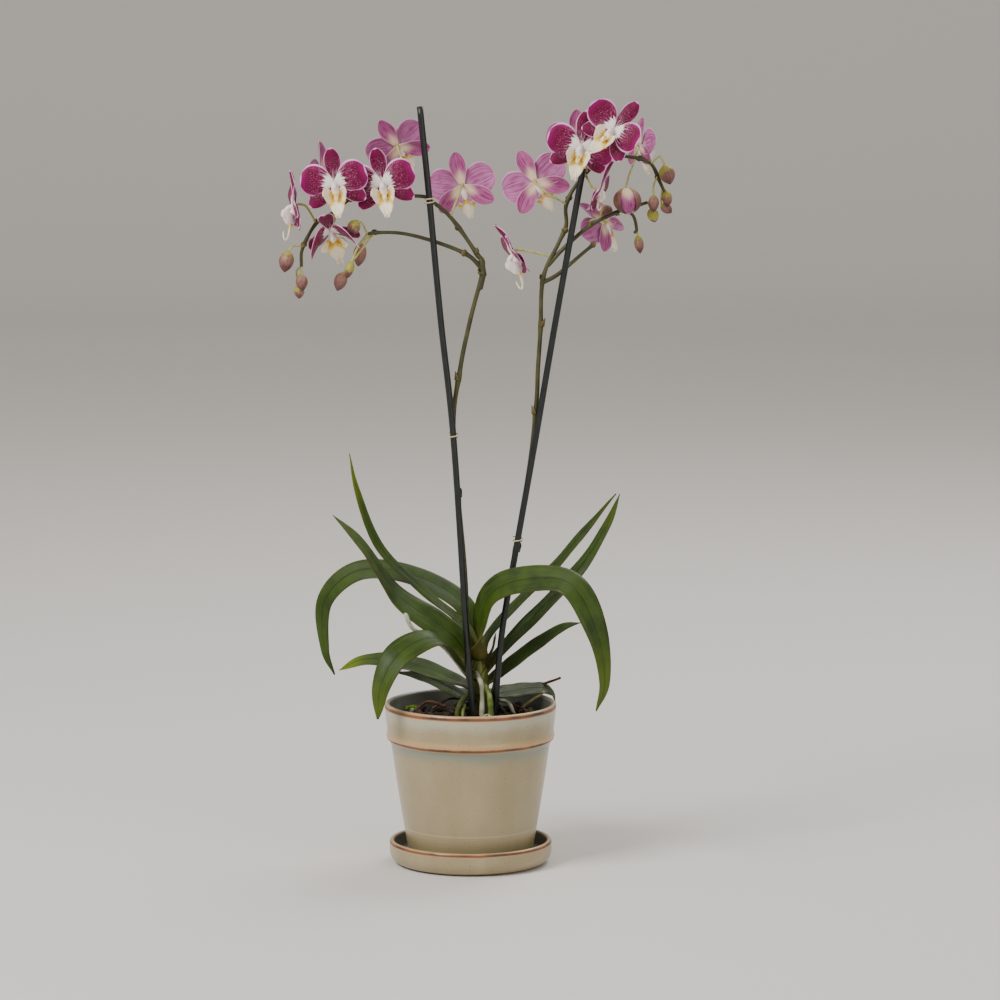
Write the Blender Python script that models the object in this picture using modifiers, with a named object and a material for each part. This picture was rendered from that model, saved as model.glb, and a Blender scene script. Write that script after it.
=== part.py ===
"""Potted moth orchid: a glazed pot on its saucer, bark medium, a crown with leaves and roots, and two flower
spikes tied to stakes. Metres, +Z up. The origin is the middle of the saucer's underside."""

from math import cos, pi, sin, tau

import bmesh
import bpy
from mathutils import Vector

# ---- driving dimensions -------------------------------------------------------------------------
GAP = 0.0003  # left between pieces that touch

SAUCER_HEIGHT = 0.019
SAUCER_MARGIN = 0.0157  # from the pot's foot to the saucer's rim
SAUCER_WALL = 0.0040
SAUCER_FLOOR = 0.0045
SAUCER_FOOT_INSET = 0.0105

POT_RIM_RADIUS = 0.0678
POT_FOOT_RADIUS = 0.0485
POT_HEIGHT = 0.1237
POT_WALL = 0.0042
POT_FLOOR = 0.0060
COLLAR_HEIGHT = 0.0287
COLLAR_TAPER = 0.0018
COLLAR_STEP = 0.0032
DRAIN_RADIUS = 0.0060

MEDIUM_DROP = 0.0125  # from the pot's rim down to the medium

CROWN_X = 0.007  # the plant stands a little off the pot's axis
CROWN_RADIUS = 0.007
CROWN_HEIGHT = 0.050
CROWN_DEPTH = 0.014

LEAF_THICKNESS = 0.0018
CLASP_LENGTH = 0.15  # the share of a leaf's length over which its base turns away from the crown
ROOT_RADIUS = 0.0021
ROOT_DEPTH = 0.006

STAKE_RADIUS = 0.0025
STAKE_FOOT_GAP = 0.020  # left below a stake's end
SPIKE_RADIUS = 0.0020
SPIKE_TIP_RADIUS = 0.0011
TIE_RADIUS = 0.0005

FLOWER_REACH = 0.0275  # from a flower's middle to the tip of a petal
TEPAL_THICKNESS = 0.0008
PEDICEL_RADIUS = 0.0009

ROUND_STEPS = 32
TUBE_ROUNDNESS = 2

# ---- heights that follow from them --------------------------------------------------------------
POT_Z = SAUCER_FLOOR + GAP
RIM_Z = POT_Z + POT_HEIGHT
MEDIUM_Z = RIM_Z - MEDIUM_DROP
SAUCER_RADIUS = POT_FOOT_RADIUS + SAUCER_MARGIN
BODY_TOP_RADIUS = POT_RIM_RADIUS - COLLAR_TAPER - COLLAR_STEP
BODY_TOP_Z = RIM_Z - COLLAR_HEIGHT - COLLAR_STEP
FLOOR_TOP_Z = POT_Z + POT_FLOOR
STAKE_FOOT_Z = FLOOR_TOP_Z + STAKE_FOOT_GAP


# ---- scene, materials and shapes ----------------------------------------------------------------
def clear_scene():
    for obj in list(bpy.data.objects):
        bpy.data.objects.remove(obj)


def new_collection(name, hidden=False):
    made = bpy.data.collections.new(name)
    bpy.context.scene.collection.children.link(made)
    made.hide_render = hidden
    return made


def new_material(name, colour, roughness):
    made = bpy.data.materials.new(name)
    made.use_nodes = True
    shader = made.node_tree.nodes["Principled BSDF"]
    shader.inputs["Base Color"].default_value = (*colour, 1)
    shader.inputs["Roughness"].default_value = roughness
    shader.inputs["Metallic"].default_value = 0
    return made


def on_plant(x, y, z):
    """A place on the plant, measured from where the pot's axis meets the medium."""
    return Vector((x, y, MEDIUM_Z + z))


def add_object(name, mesh, material, collection):
    obj = bpy.data.objects.new(name, mesh)
    collection.objects.link(obj)
    if material:
        mesh.materials.append(material)
    return obj


def add_solid(name, mesh, material):
    mesh.shade_smooth()
    mesh.set_sharp_from_angle(angle=pi / 5)
    return add_object(name, mesh, material, ORCHID)


def add_helper(name, mesh):
    obj = add_object(name, mesh, None, HELPERS)
    obj.hide_render = True
    obj.display_type = "WIRE"
    return obj


def as_mesh(obj):
    """The object's evaluated mesh with its seams closed. The object itself is removed."""
    graph = bpy.context.evaluated_depsgraph_get()
    mesh = bpy.data.meshes.new_from_object(obj.evaluated_get(graph))
    bm = bmesh.new()
    bm.from_mesh(mesh)
    bmesh.ops.remove_doubles(bm, verts=bm.verts, dist=1e-6)
    bm.to_mesh(mesh)
    bm.free()
    bpy.data.objects.remove(obj)
    return mesh


def spline_point(p0, p1, p2, p3, t):
    """A point of the Catmull-Rom curve between p1 and p2."""
    along = (p2 - p0) * t
    bend = (2 * p0 - 5 * p1 + 4 * p2 - p3) * t * t
    turn = (3 * p1 - p0 - 3 * p2 + p3) * t * t * t
    return p1 + 0.5 * (along + bend + turn)


def smooth_path(points, count):
    """count points, evenly spaced, on the smooth curve through the given ones."""
    fine = 12
    ends = [2 * points[0] - points[1], *points, 2 * points[-1] - points[-2]]
    dense = [spline_point(*ends[i : i + 4], k / fine) for i in range(len(points) - 1) for k in range(fine)]
    dense.append(points[-1])
    lengths = [0.0]
    for a, b in zip(dense, dense[1:]):
        lengths.append(lengths[-1] + (b - a).length)
    path = []
    i = 0
    for k in range(count):
        want = lengths[-1] * k / (count - 1)
        while i < len(dense) - 2 and lengths[i + 1] < want:
            i += 1
        share = (want - lengths[i]) / (lengths[i + 1] - lengths[i])
        path.append(dense[i].lerp(dense[i + 1], share))
    return path


def tube(name, path, radii, material, collection, roundness=TUBE_ROUNDNESS):
    """A round bar along the path: a curve with a bevel, whose radius changes from point to point."""
    curve = bpy.data.curves.new(name, "CURVE")
    curve.dimensions = "3D"
    curve.bevel_depth = 1
    curve.bevel_resolution = roundness
    curve.use_fill_caps = True
    spline = curve.splines.new("POLY")
    spline.points.add(len(path) - 1)
    for point, place, radius in zip(spline.points, path, radii):
        point.co = (*place, 1)
        point.radius = radius
    spline.use_smooth = True
    return add_object(name, curve, material, collection)


def taper(first, last, count):
    return [first + (last - first) * k / (count - 1) for k in range(count)]


def turned(name, profile, closed_loop):
    """A solid of revolution about Z. The profile is at +X and runs down its outer side."""
    mesh = bpy.data.meshes.new(name)
    edges = [(i, i + 1) for i in range(len(profile) - 1)]
    if closed_loop:
        edges.append((len(profile) - 1, 0))
    mesh.from_pydata([(r, 0, z) for r, z in profile], edges, [])
    obj = add_object(name, mesh, None, ORCHID)
    screw = obj.modifiers.new("turn", "SCREW")
    screw.steps = screw.render_steps = ROUND_STEPS
    screw.use_merge_vertices = True
    screw.merge_threshold = 0.00001
    return as_mesh(obj)


def arc(centre, radius, start, end, count):
    """Points on an arc of a profile, with its angles in turns."""
    angles = [tau * (start + (end - start) * k / (count - 1)) for k in range(count)]
    return [(centre[0] + radius * cos(a), centre[1] + radius * sin(a)) for a in angles]


def united(pieces, name, material):
    """One closed solid from several that overlap."""
    group = bpy.data.collections.new(name + "_pieces")
    for piece in pieces[1:]:
        group.objects.link(piece)
    union = pieces[0].modifiers.new("union", "BOOLEAN")
    union.operation = "UNION"
    union.operand_type = "COLLECTION"
    union.collection = group
    union.solver = "EXACT"
    mesh = as_mesh(pieces[0])
    mesh.materials.clear()
    for piece in pieces[1:]:
        bpy.data.objects.remove(piece)
    bpy.data.collections.remove(group)
    return add_solid(name, mesh, material)


# ---- pot, saucer and medium ---------------------------------------------------------------------
def add_saucer(glaze):
    lip = SAUCER_WALL / 2
    foot = SAUCER_RADIUS - SAUCER_FOOT_INSET
    inside = SAUCER_RADIUS - SAUCER_WALL
    outer_wall = arc((foot, SAUCER_FOOT_INSET), SAUCER_FOOT_INSET, 0, -0.25, 5)
    inner_bend = arc((inside - 0.006, SAUCER_FLOOR + 0.006), 0.006, -0.25, 0, 4)
    profile = arc((SAUCER_RADIUS - lip, SAUCER_HEIGHT - lip), lip, 0.5, 0, 6)
    profile += outer_wall
    profile.append((0, 0))
    profile.append((0, SAUCER_FLOOR))
    profile += inner_bend
    add_solid("saucer", turned("saucer", profile, closed_loop=True), glaze)


def pot_inside(clearance):
    """The pot's inner wall from its top to its floor, drawn in by a clearance."""
    return [
        (POT_RIM_RADIUS - POT_WALL - clearance, RIM_Z),
        (BODY_TOP_RADIUS - POT_WALL - clearance, BODY_TOP_Z),
        (POT_FOOT_RADIUS - POT_WALL - clearance, FLOOR_TOP_Z + clearance),
    ]


def add_pot(glaze):
    lip = POT_WALL / 2
    collar_foot_z = RIM_Z - COLLAR_HEIGHT
    collar_foot = POT_RIM_RADIUS - COLLAR_TAPER
    profile = arc((POT_RIM_RADIUS - lip, RIM_Z - lip), lip, 0.5, 0, 6)
    profile += arc((collar_foot - 0.001, collar_foot_z + 0.001), 0.001, 0, -0.2, 3)
    profile.append((BODY_TOP_RADIUS, BODY_TOP_Z))
    profile += arc((POT_FOOT_RADIUS - 0.0015, POT_Z + 0.0015), 0.0015, 0, -0.25, 3)
    profile.append((DRAIN_RADIUS, POT_Z))
    profile.append((DRAIN_RADIUS, FLOOR_TOP_Z))
    profile += reversed(pot_inside(0)[1:])
    add_solid("pot", turned("pot", profile, closed_loop=True), glaze)


def add_medium(bark, sockets):
    """The bark that fills the pot. Whatever stands in it has its own close-fitting socket."""
    top, bend, bottom = pot_inside(GAP)
    share = (RIM_Z - MEDIUM_Z) / (RIM_Z - BODY_TOP_Z)
    edge = top[0] + (bend[0] - top[0]) * share
    profile = [(0, MEDIUM_Z), (edge, MEDIUM_Z), bend, bottom, (0, bottom[1])]
    medium = add_solid("medium", turned("medium", profile, closed_loop=True), bark)
    cut = medium.modifiers.new("sockets", "BOOLEAN")
    cut.operation = "DIFFERENCE"
    cut.operand_type = "COLLECTION"
    cut.collection = sockets
    cut.solver = "EXACT"


def medium_edge():
    """The medium's radius at its surface."""
    top, bend, _ = pot_inside(GAP)
    return top[0] + (bend[0] - top[0]) * (RIM_Z - MEDIUM_Z) / (RIM_Z - BODY_TOP_Z)


def add_moss(green):
    """A low cushion of moss that lies on the medium near the wall."""
    height, radius = 0.005, 0.009
    dome = [(radius * sin(a), height * cos(a)) for a in (0, pi / 8, pi / 4, pi * 3 / 8, pi / 2)]
    mesh = turned("moss", [*dome, (0, 0)], closed_loop=True)
    moss = add_solid("moss", mesh, green)
    moss.location = on_plant(medium_edge() - radius - 0.003, 0.002, GAP)


def socket(name, path, radii):
    """A cutter for the medium, larger than what stands in it by the gap."""
    cutter = tube(name, path, [r + GAP for r in radii], None, HELPERS)
    mesh = as_mesh(cutter)
    SOCKETS.objects.link(add_helper(name + "_socket", mesh))


# ---- crown, leaves and roots --------------------------------------------------------------------
CROWN_OUTLINE = ((-1.0, 0.80), (0.0, 1.0), (0.45, 0.95), (0.8, 0.70), (1.0, 0.25))


def crown_radius(z):
    """The crown's radius at a height above the medium."""
    for (low, low_r), (high, high_r) in zip(CROWN_OUTLINE[1:], CROWN_OUTLINE[2:]):
        if z <= high * CROWN_HEIGHT:
            share = (z / CROWN_HEIGHT - low) / (high - low)
            return CROWN_RADIUS * (low_r + (high_r - low_r) * max(share, 0))
    return CROWN_RADIUS * CROWN_OUTLINE[-1][1]


def add_crown(green):
    path = [on_plant(CROWN_X, 0, h * (CROWN_HEIGHT if h > 0 else CROWN_DEPTH)) for h, _ in CROWN_OUTLINE]
    radii = [r * CROWN_RADIUS for _, r in CROWN_OUTLINE]
    tube("crown", path, radii, green, ORCHID)
    socket("crown", [path[0] - Vector((0, 0, GAP)), *path[1:3]], radii[:1] + radii[1:3])


def off_crown(toward, z, clearance):
    """A place just off the crown's side, at a height, on the side of a given place."""
    away = Vector((toward.x - CROWN_X, toward.y, 0)).normalized()
    return on_plant(CROWN_X, 0, z) + away * (crown_radius(z) + clearance)


def leaf(name, base_z, places, widths, faces, green):
    """A strap leaf, folded a little along its midrib. widths are those of its base and its blade, and faces
    are the ways that its upper side looks from its base to its tip. The base itself clasps the crown."""
    cells, fold, tip_width = 12, 0.22, 0.0016
    points = [on_plant(*place) for place in places]
    points.insert(0, off_crown(points[0], base_z, LEAF_THICKNESS + GAP))
    path = smooth_path(points, cells + 1)
    clasping = on_plant(CROWN_X, 0, base_z + CROWN_RADIUS) - points[0]
    faces = [clasping.normalized(), *[Vector(face) for face in faces]]
    stations = [0, *[CLASP_LENGTH + (1 - CLASP_LENGTH) * k / (len(faces) - 2) for k in range(len(faces) - 1)]]
    base_width, blade_width = widths
    bm = bmesh.new()
    bmesh.ops.create_grid(bm, x_segments=cells, y_segments=2, size=0.5)
    for vert in bm.verts:
        t, across = vert.co.x + 0.5, vert.co.y * 2
        i = round(t * cells)
        ahead = (path[min(i + 1, cells)] - path[max(i - 1, 0)]).normalized()
        k = max(j for j in range(len(stations) - 1) if stations[j] <= t)
        face = faces[k].lerp(faces[k + 1], (t - stations[k]) / (stations[k + 1] - stations[k]))
        side = ahead.cross(face).normalized()
        swell = base_width + (blade_width - base_width) * min(t / 0.45, 1) ** 1.3
        narrowing = (1 - max((t - 0.45) / 0.55, 0) ** 2.2) ** 0.8
        half = max(swell * narrowing, tip_width) / 2
        vert.co = path[i] + across * half * side + abs(across) * half * fold * side.cross(ahead)
    mesh = bpy.data.meshes.new(name)
    bm.to_mesh(mesh)
    bm.free()
    obj = add_solid(name, mesh, green)
    shell = obj.modifiers.new("thickness", "SOLIDIFY")
    shell.thickness = LEAF_THICKNESS
    shell.offset = 0
    return obj


UP = (0, 0, 1)
LEAVES = {
    "leaf_left_tall": (
        0.046,
        [(0.000, 0.010, 0.064), (-0.011, 0.014, 0.077), (-0.039, 0.017, 0.100), (-0.072, 0.016, 0.134),
         (-0.089, 0.012, 0.178), (-0.095, 0.008, 0.209)],
        (0.005, 0.009),
        [(0.3, -0.6, 0.8), (0.5, -0.8, 0.3)],
    ),
    "leaf_left_upper": (
        0.036,
        [(-0.009, 0.002, 0.060), (-0.028, 0.002, 0.075), (-0.059, 0.002, 0.098), (-0.084, -0.001, 0.136),
         (-0.108, -0.004, 0.162)],
        (0.008, 0.017),
        [(0.0, -0.8, 0.6), (0.6, -0.6, 0.5), (0.7, -0.5, 0.5)],
    ),
    "leaf_left_back": (
        0.030,
        [(0.003, 0.015, 0.050), (-0.005, 0.023, 0.085), (-0.043, 0.038, 0.106), (-0.088, 0.050, 0.110),
         (-0.116, 0.056, 0.085), (-0.117, 0.057, 0.046), (-0.109, 0.054, 0.025)],
        (0.006, 0.018),
        [(0.3, -0.7, 0.7), (0.0, -0.5, 0.8), (-0.6, 0.6, 0.3), (-0.3, 0.95, 0.1)],
    ),
    "leaf_left_front": (
        0.029,
        [(-0.009, -0.004, 0.043), (-0.028, -0.025, 0.067), (-0.055, -0.044, 0.058), (-0.069, -0.052, 0.034),
         (-0.072, -0.053, 0.008)],
        (0.009, 0.024),
        [UP, (-0.4, -0.6, 0.6), (-0.6, -0.8, 0.2)],
    ),
    "leaf_left_low": (
        0.021,
        [(-0.010, 0.007, 0.027), (-0.043, 0.022, 0.038), (-0.082, 0.038, 0.040), (-0.105, 0.046, 0.030)],
        (0.009, 0.010),
        [UP, (-0.2, -0.3, 1)],
    ),
    "leaf_left_lowest": (
        0.012,
        [(-0.009, 0.009, 0.017), (-0.036, 0.022, 0.028), (-0.060, 0.033, 0.031)],
        (0.007, 0.006),
        [UP, UP],
    ),
    "leaf_right_front": (
        0.046,
        [(0.007, -0.010, 0.061), (0.014, -0.021, 0.099), (0.039, -0.038, 0.115), (0.077, -0.062, 0.116),
         (0.098, -0.074, 0.081), (0.104, -0.076, 0.042), (0.098, -0.073, 0.018)],
        (0.009, 0.023),
        [(-0.2, 0.5, 0.8), (0.0, -0.7, 0.7), (0.5, -0.8, 0.3), (0.7, -0.8, 0.2)],
    ),
    "leaf_right_tall": (
        0.044,
        [(0.013, 0.009, 0.061), (0.033, 0.020, 0.084), (0.066, 0.033, 0.115), (0.092, 0.042, 0.147),
         (0.112, 0.046, 0.172)],
        (0.005, 0.011),
        [(-0.5, -0.5, 0.7), (-0.5, -0.6, 0.6)],
    ),
    "leaf_right_back": (
        0.034,
        [(0.021, 0.010, 0.047), (0.047, 0.020, 0.074), (0.085, 0.027, 0.113), (0.107, 0.029, 0.147),
         (0.118, 0.030, 0.174)],
        (0.011, 0.014),
        [(-0.5, -0.6, 0.6), (-0.6, -0.7, 0.3)],
    ),
    "leaf_right_low": (
        0.025,
        [(0.022, 0.009, 0.033), (0.045, 0.014, 0.051), (0.072, 0.016, 0.069), (0.087, 0.017, 0.073)],
        (0.007, 0.009),
        [UP, (-0.2, -0.2, 1)],
    ),
    "leaf_inner": (
        0.044,
        [(0.017, -0.001, 0.054), (0.020, -0.001, 0.068)],
        (0.004, 0.005),
        [(-1, 0, 0.3), (-1, 0, 0.3)],
    ),
}


def add_rim_leaf(green):
    """The low leaf at the back right that lies over the pot's rim and droops outside it."""
    over = POT_RIM_RADIUS
    rim = MEDIUM_DROP
    places = [
        (0.024, 0.013, rim + 0.009),
        (over * 0.60, 0.022, rim + 0.008),
        (over * 0.90, 0.028, rim + 0.006),
        (over + 0.002, 0.031, rim + 0.002),
        (over + 0.005, 0.032, rim - 0.006),
    ]
    faces = [(0, -0.6, 0.8), (0.3, -0.5, 0.8), (0.8, -0.2, 0.5)]
    leaf("leaf_right_rim", 0.016, places, (0.009, 0.018), faces, green)


def root(name, places, radii, colour, from_crown=True):
    """A root. One that grows from the crown starts just off its side. Each ends inside the medium."""
    points = [on_plant(*place) for place in places]
    if from_crown:
        points[0] = off_crown(points[0], places[0][2], 2 * GAP)
        points.insert(1, off_crown(points[0], places[0][2], radii[0] * 1.6))
    count = 4 * len(points) - 5
    path = smooth_path(points, count)
    sizes = taper(*radii, count)
    tube(name, path, sizes, colour, ORCHID)
    if places[-1][2] < 0:
        deeper = path[-1] + (path[-1] - path[-2]).normalized() * GAP
        socket(name, [*path[-6:-1], deeper], sizes[-6:])


def add_roots(green, silver, dry):
    r, deep = ROOT_RADIUS, -ROOT_DEPTH
    root("root_front", [(0.004, -0.008, 0.036), (0.008, -0.012, 0.026), (0.008, -0.016, 0.008),
                        (0.007, -0.018, deep)], (r * 0.8, r), silver)
    root("root_front_right", [(0.010, -0.007, 0.026), (0.015, -0.014, 0.020), (0.016, -0.015, 0.008),
                              (0.016, -0.015, deep)], (r, r * 1.1), green)
    root("root_right", [(0.014, 0.005, 0.012), (0.030, 0.008, 0.010), (0.038, 0.007, deep)],
         (r * 0.7, r * 0.7), silver)
    root("root_left", [(-0.001, -0.003, 0.020), (-0.009, -0.007, 0.010), (-0.012, -0.009, deep)],
         (r, r), green)
    root("root_aerial", [(-0.003, 0.008, 0.028), (-0.013, 0.007, 0.046), (-0.024, 0.002, 0.058),
                         (-0.036, -0.003, 0.066), (-0.046, -0.008, 0.073), (-0.051, -0.010, 0.085)],
         (r * 0.8, r * 0.8), silver)
    edge = medium_edge()
    over_edge = [(edge - 0.003, 0.026, 0.016), (edge - 0.018, 0.021, 0.006), (edge - 0.026, 0.018, deep)]
    root("root_on_rim", over_edge, (r * 0.6, r * 0.6), dry, from_crown=False)
    over = POT_RIM_RADIUS
    over_rim = [(over - 0.020, 0.040, 0.018), (over - 0.008, 0.038, 0.021), (over + 0.004, 0.041, 0.025)]
    root("root_dry", over_rim, (r * 0.55, r * 0.35), dry, from_crown=False)


# ---- stakes, spikes and ties --------------------------------------------------------------------
STAKES = {
    "stake_left": [(0.002, -0.016, 0.005), (-0.003, -0.014, 0.068), (-0.013, -0.009, 0.222),
                   (-0.023, -0.006, 0.316), (-0.032, -0.003, 0.413), (-0.039, -0.001, 0.482)],
    "stake_right": [(0.019, -0.007, 0.005), (0.025, -0.006, 0.070), (0.037, -0.004, 0.141),
                    (0.051, -0.003, 0.221), (0.067, -0.002, 0.316), (0.088, 0.000, 0.434)],
}


def add_stake(name, dark):
    points = [on_plant(*place) for place in STAKES[name]]
    slope = (points[0] - points[1]) / (points[0].z - points[1].z)
    points.insert(0, points[0] + slope * (STAKE_FOOT_Z - points[0].z))
    path = smooth_path(points, 12)
    radii = [STAKE_RADIUS] * len(path)
    tube(name, path, radii, dark, ORCHID)
    end = path[0] + (path[0] - path[1]).normalized() * GAP
    socket(name, [end, *path[1:4]], radii[:4])
    return path


def beside(stake, z, offset, room=0.0):
    """A spike's place behind a stake at a height above the medium, clear of it by the room that a tie needs.
    offset is to the right."""
    for low, high in zip(stake, stake[1:]):
        if high.z >= MEDIUM_Z + z:
            place = low.lerp(high, (MEDIUM_Z + z - low.z) / (high.z - low.z))
            break
    reach = STAKE_RADIUS + SPIKE_RADIUS + 3 * GAP + room
    return place + Vector((offset, (reach**2 - offset**2) ** 0.5, 0))


class Stem:
    """A flower spike's main stem or branch, as a path with a radius at each of its points."""

    def __init__(self, points, radii, count):
        self.path = smooth_path(points, count)
        self.radii = taper(*radii, count)

    def solid(self, name):
        mesh = as_mesh(tube(name, self.path, self.radii, None, HELPERS))
        return add_helper(name + "_piece", mesh)

    def nearest(self, place):
        return min(range(len(self.path)), key=lambda i: (self.path[i] - place).length)


def add_spikes(olive, stakes):
    """Both flower spikes. Returns each one's stems."""
    left, right = stakes["stake_left"], stakes["stake_right"]
    tie_low = LEFT_TIE_Z
    thin = SPIKE_TIP_RADIUS
    mid = (SPIKE_RADIUS + thin) / 2
    spikes = {}
    start = Vector((0.0035, -0.006, 0))
    main = Stem(
        [off_crown(start, 0.014, 6 * GAP), off_crown(start, 0.018, 0.0035), off_crown(start, 0.025, 0.0045),
         beside(left, 0.036, -0.001),
         beside(left, 0.068, 0.000), beside(left, 0.150, -0.001), beside(left, tie_low, 0.000),
         on_plant(-0.008, 0.000, 0.276), on_plant(0.000, 0.002, 0.315), on_plant(0.010, 0.004, 0.356),
         on_plant(0.005, 0.005, 0.367), on_plant(-0.015, 0.006, 0.395),
         beside(left, LEFT_CLIP_Z, 0.000, 2 * TIE_RADIUS),
         on_plant(-0.040, 0.004, 0.412), on_plant(-0.078, 0.006, 0.412), on_plant(-0.093, 0.006, 0.410),
         on_plant(-0.107, 0.005, 0.399), on_plant(-0.120, 0.005, 0.391), on_plant(-0.131, 0.005, 0.371),
         on_plant(-0.132, 0.005, 0.357)],
        (SPIKE_RADIUS, thin), 46,
    )
    branch = Stem(
        [on_plant(0.010, 0.004, 0.354), on_plant(-0.002, 0.004, 0.366), on_plant(-0.026, 0.003, 0.376),
         on_plant(-0.052, 0.001, 0.383), on_plant(-0.073, -0.002, 0.384), on_plant(-0.080, -0.003, 0.383)],
        (mid, thin), 12,
    )
    spikes["spike_left"] = [main, branch]
    start = Vector((0.016, -0.001, 0))
    main = Stem(
        [off_crown(start, 0.014, 6 * GAP), off_crown(start, 0.018, 0.004), off_crown(start, 0.025, 0.006),
         beside(right, 0.040, 0.000),
         beside(right, 0.075, 0.000), beside(right, RIGHT_TIE_Z, 0.000), beside(right, 0.205, -0.001),
         on_plant(0.052, 0.002, 0.252), on_plant(0.053, 0.002, 0.276), on_plant(0.055, 0.003, 0.307),
         on_plant(0.057, 0.003, 0.348), on_plant(0.069, 0.005, 0.375), on_plant(0.075, 0.006, 0.389),
         on_plant(0.075, 0.006, 0.405), on_plant(0.084, 0.0068, 0.422), on_plant(0.105, 0.006, 0.443),
         on_plant(0.121, 0.006, 0.443), on_plant(0.140, 0.006, 0.438), on_plant(0.148, 0.006, 0.423),
         on_plant(0.153, 0.006, 0.412)],
        (SPIKE_RADIUS, thin), 44,
    )
    upper = Stem(
        [on_plant(0.061, 0.004, 0.358), on_plant(0.073, 0.0055, 0.371), on_plant(0.094, 0.005, 0.389),
         on_plant(0.116, 0.005, 0.400), on_plant(0.129, 0.004, 0.404), on_plant(0.138, 0.004, 0.407)],
        (mid, thin), 14,
    )
    lower = Stem(
        [on_plant(0.058, 0.003, 0.345), on_plant(0.069, 0.0055, 0.351), on_plant(0.087, 0.009, 0.366),
         on_plant(0.097, 0.011, 0.374)],
        (mid, thin), 8,
    )
    spur = Stem(
        [on_plant(0.118, 0.005, 0.401), on_plant(0.127, 0.005, 0.397), on_plant(0.130, 0.005, 0.386)],
        (thin, thin), 5,
    )
    spikes["spike_right"] = [main, upper, lower, spur]
    for name, stems in spikes.items():
        united([stem.solid(f"{name}_{i}") for i, stem in enumerate(stems)], name, olive)
    return spikes


LEFT_TIE_Z = 0.225
LEFT_CLIP_Z = 0.409
RIGHT_TIE_Z = 0.142


def tie(name, stake, z, turns, round_spike, material):
    """A wire wound round a stake, and round the spike behind it where that runs along the stake."""
    spike_centre = beside(stake, z, 0)
    stake_centre = spike_centre - Vector((0, STAKE_RADIUS + SPIKE_RADIUS + 3 * GAP, 0))
    if not round_spike:
        spike_centre = stake_centre
    reach = STAKE_RADIUS + TIE_RADIUS + 3 * GAP
    per_turn, pitch = 12, 6 * TIE_RADIUS
    count = round(turns * per_turn) + 1
    path = []
    for k in range(count):
        angle = tau * (k / per_turn) + pi * 0.1
        centre = spike_centre if sin(angle) > 0 else stake_centre
        lift = Vector((0, 0, pitch * (k / per_turn - turns / 2)))
        path.append(centre + reach * Vector((cos(angle), sin(angle), 0)) + lift)
    tube(name, path, [TIE_RADIUS] * count, material, ORCHID)


# ---- flowers and buds ---------------------------------------------------------------------------
def tepal(name, base, length, half_width, angle, lift, bend, blunt, across_cells):
    """A sepal or petal of a flower that faces +Z, as a cupped plate. blunt shapes its outline's end."""
    bm = bmesh.new()
    bmesh.ops.create_grid(bm, x_segments=3, y_segments=across_cells, size=0.5)
    direction = Vector((cos(angle), sin(angle), 0))
    side = Vector((-sin(angle), cos(angle), 0))
    for vert in bm.verts:
        t, across = vert.co.x + 0.5, vert.co.y * 2
        outline = max(1.6 * (t + 0.12) ** 0.7 * (1.03 - t) ** blunt, 0.12)
        height = lift + bend * t * t * length - 0.12 * half_width * across * across
        vert.co = direction * (base + t * (length - base)) + side * across * half_width * outline
        vert.co.z = height
    mesh = bpy.data.meshes.new(name)
    bm.to_mesh(mesh)
    bm.free()
    obj = add_helper(name, mesh)
    shell = obj.modifiers.new("thickness", "SOLIDIFY")
    shell.thickness = TEPAL_THICKNESS
    shell.offset = 0
    return obj


def lip(name, reach):
    """The flower's lip: a wedge that stands out below the column and hangs down."""
    bm = bmesh.new()
    bmesh.ops.create_uvsphere(bm, u_segments=6, v_segments=4, radius=1)
    for vert in bm.verts:
        drop = 0.5 - vert.co.y / 2
        vert.co.x *= 0.28 * reach * (1 - 0.5 * drop)
        vert.co.z = vert.co.z * 0.10 * reach + 0.22 * reach * (1 - 0.4 * drop)
        vert.co.y = vert.co.y * 0.43 * reach - 0.43 * reach
    mesh = bpy.data.meshes.new(name)
    bm.to_mesh(mesh)
    bm.free()
    return add_helper(name, mesh)


def attached(stems, node, last):
    """Where a pedicel meets the stem nearest to a given node, just clear of it."""
    node = on_plant(*node)
    stem = min(stems, key=lambda s: (s.path[s.nearest(node)] - node).length)
    i = stem.nearest(node)
    along = (stem.path[min(i + 1, len(stem.path) - 1)] - stem.path[max(i - 1, 0)]).normalized()
    away = last - stem.path[i]
    if 0 < i < len(stem.path) - 1:
        away -= away.dot(along) * along
    return stem.path[i] + away.normalized() * (stem.radii[i] + 3 * GAP)


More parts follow.
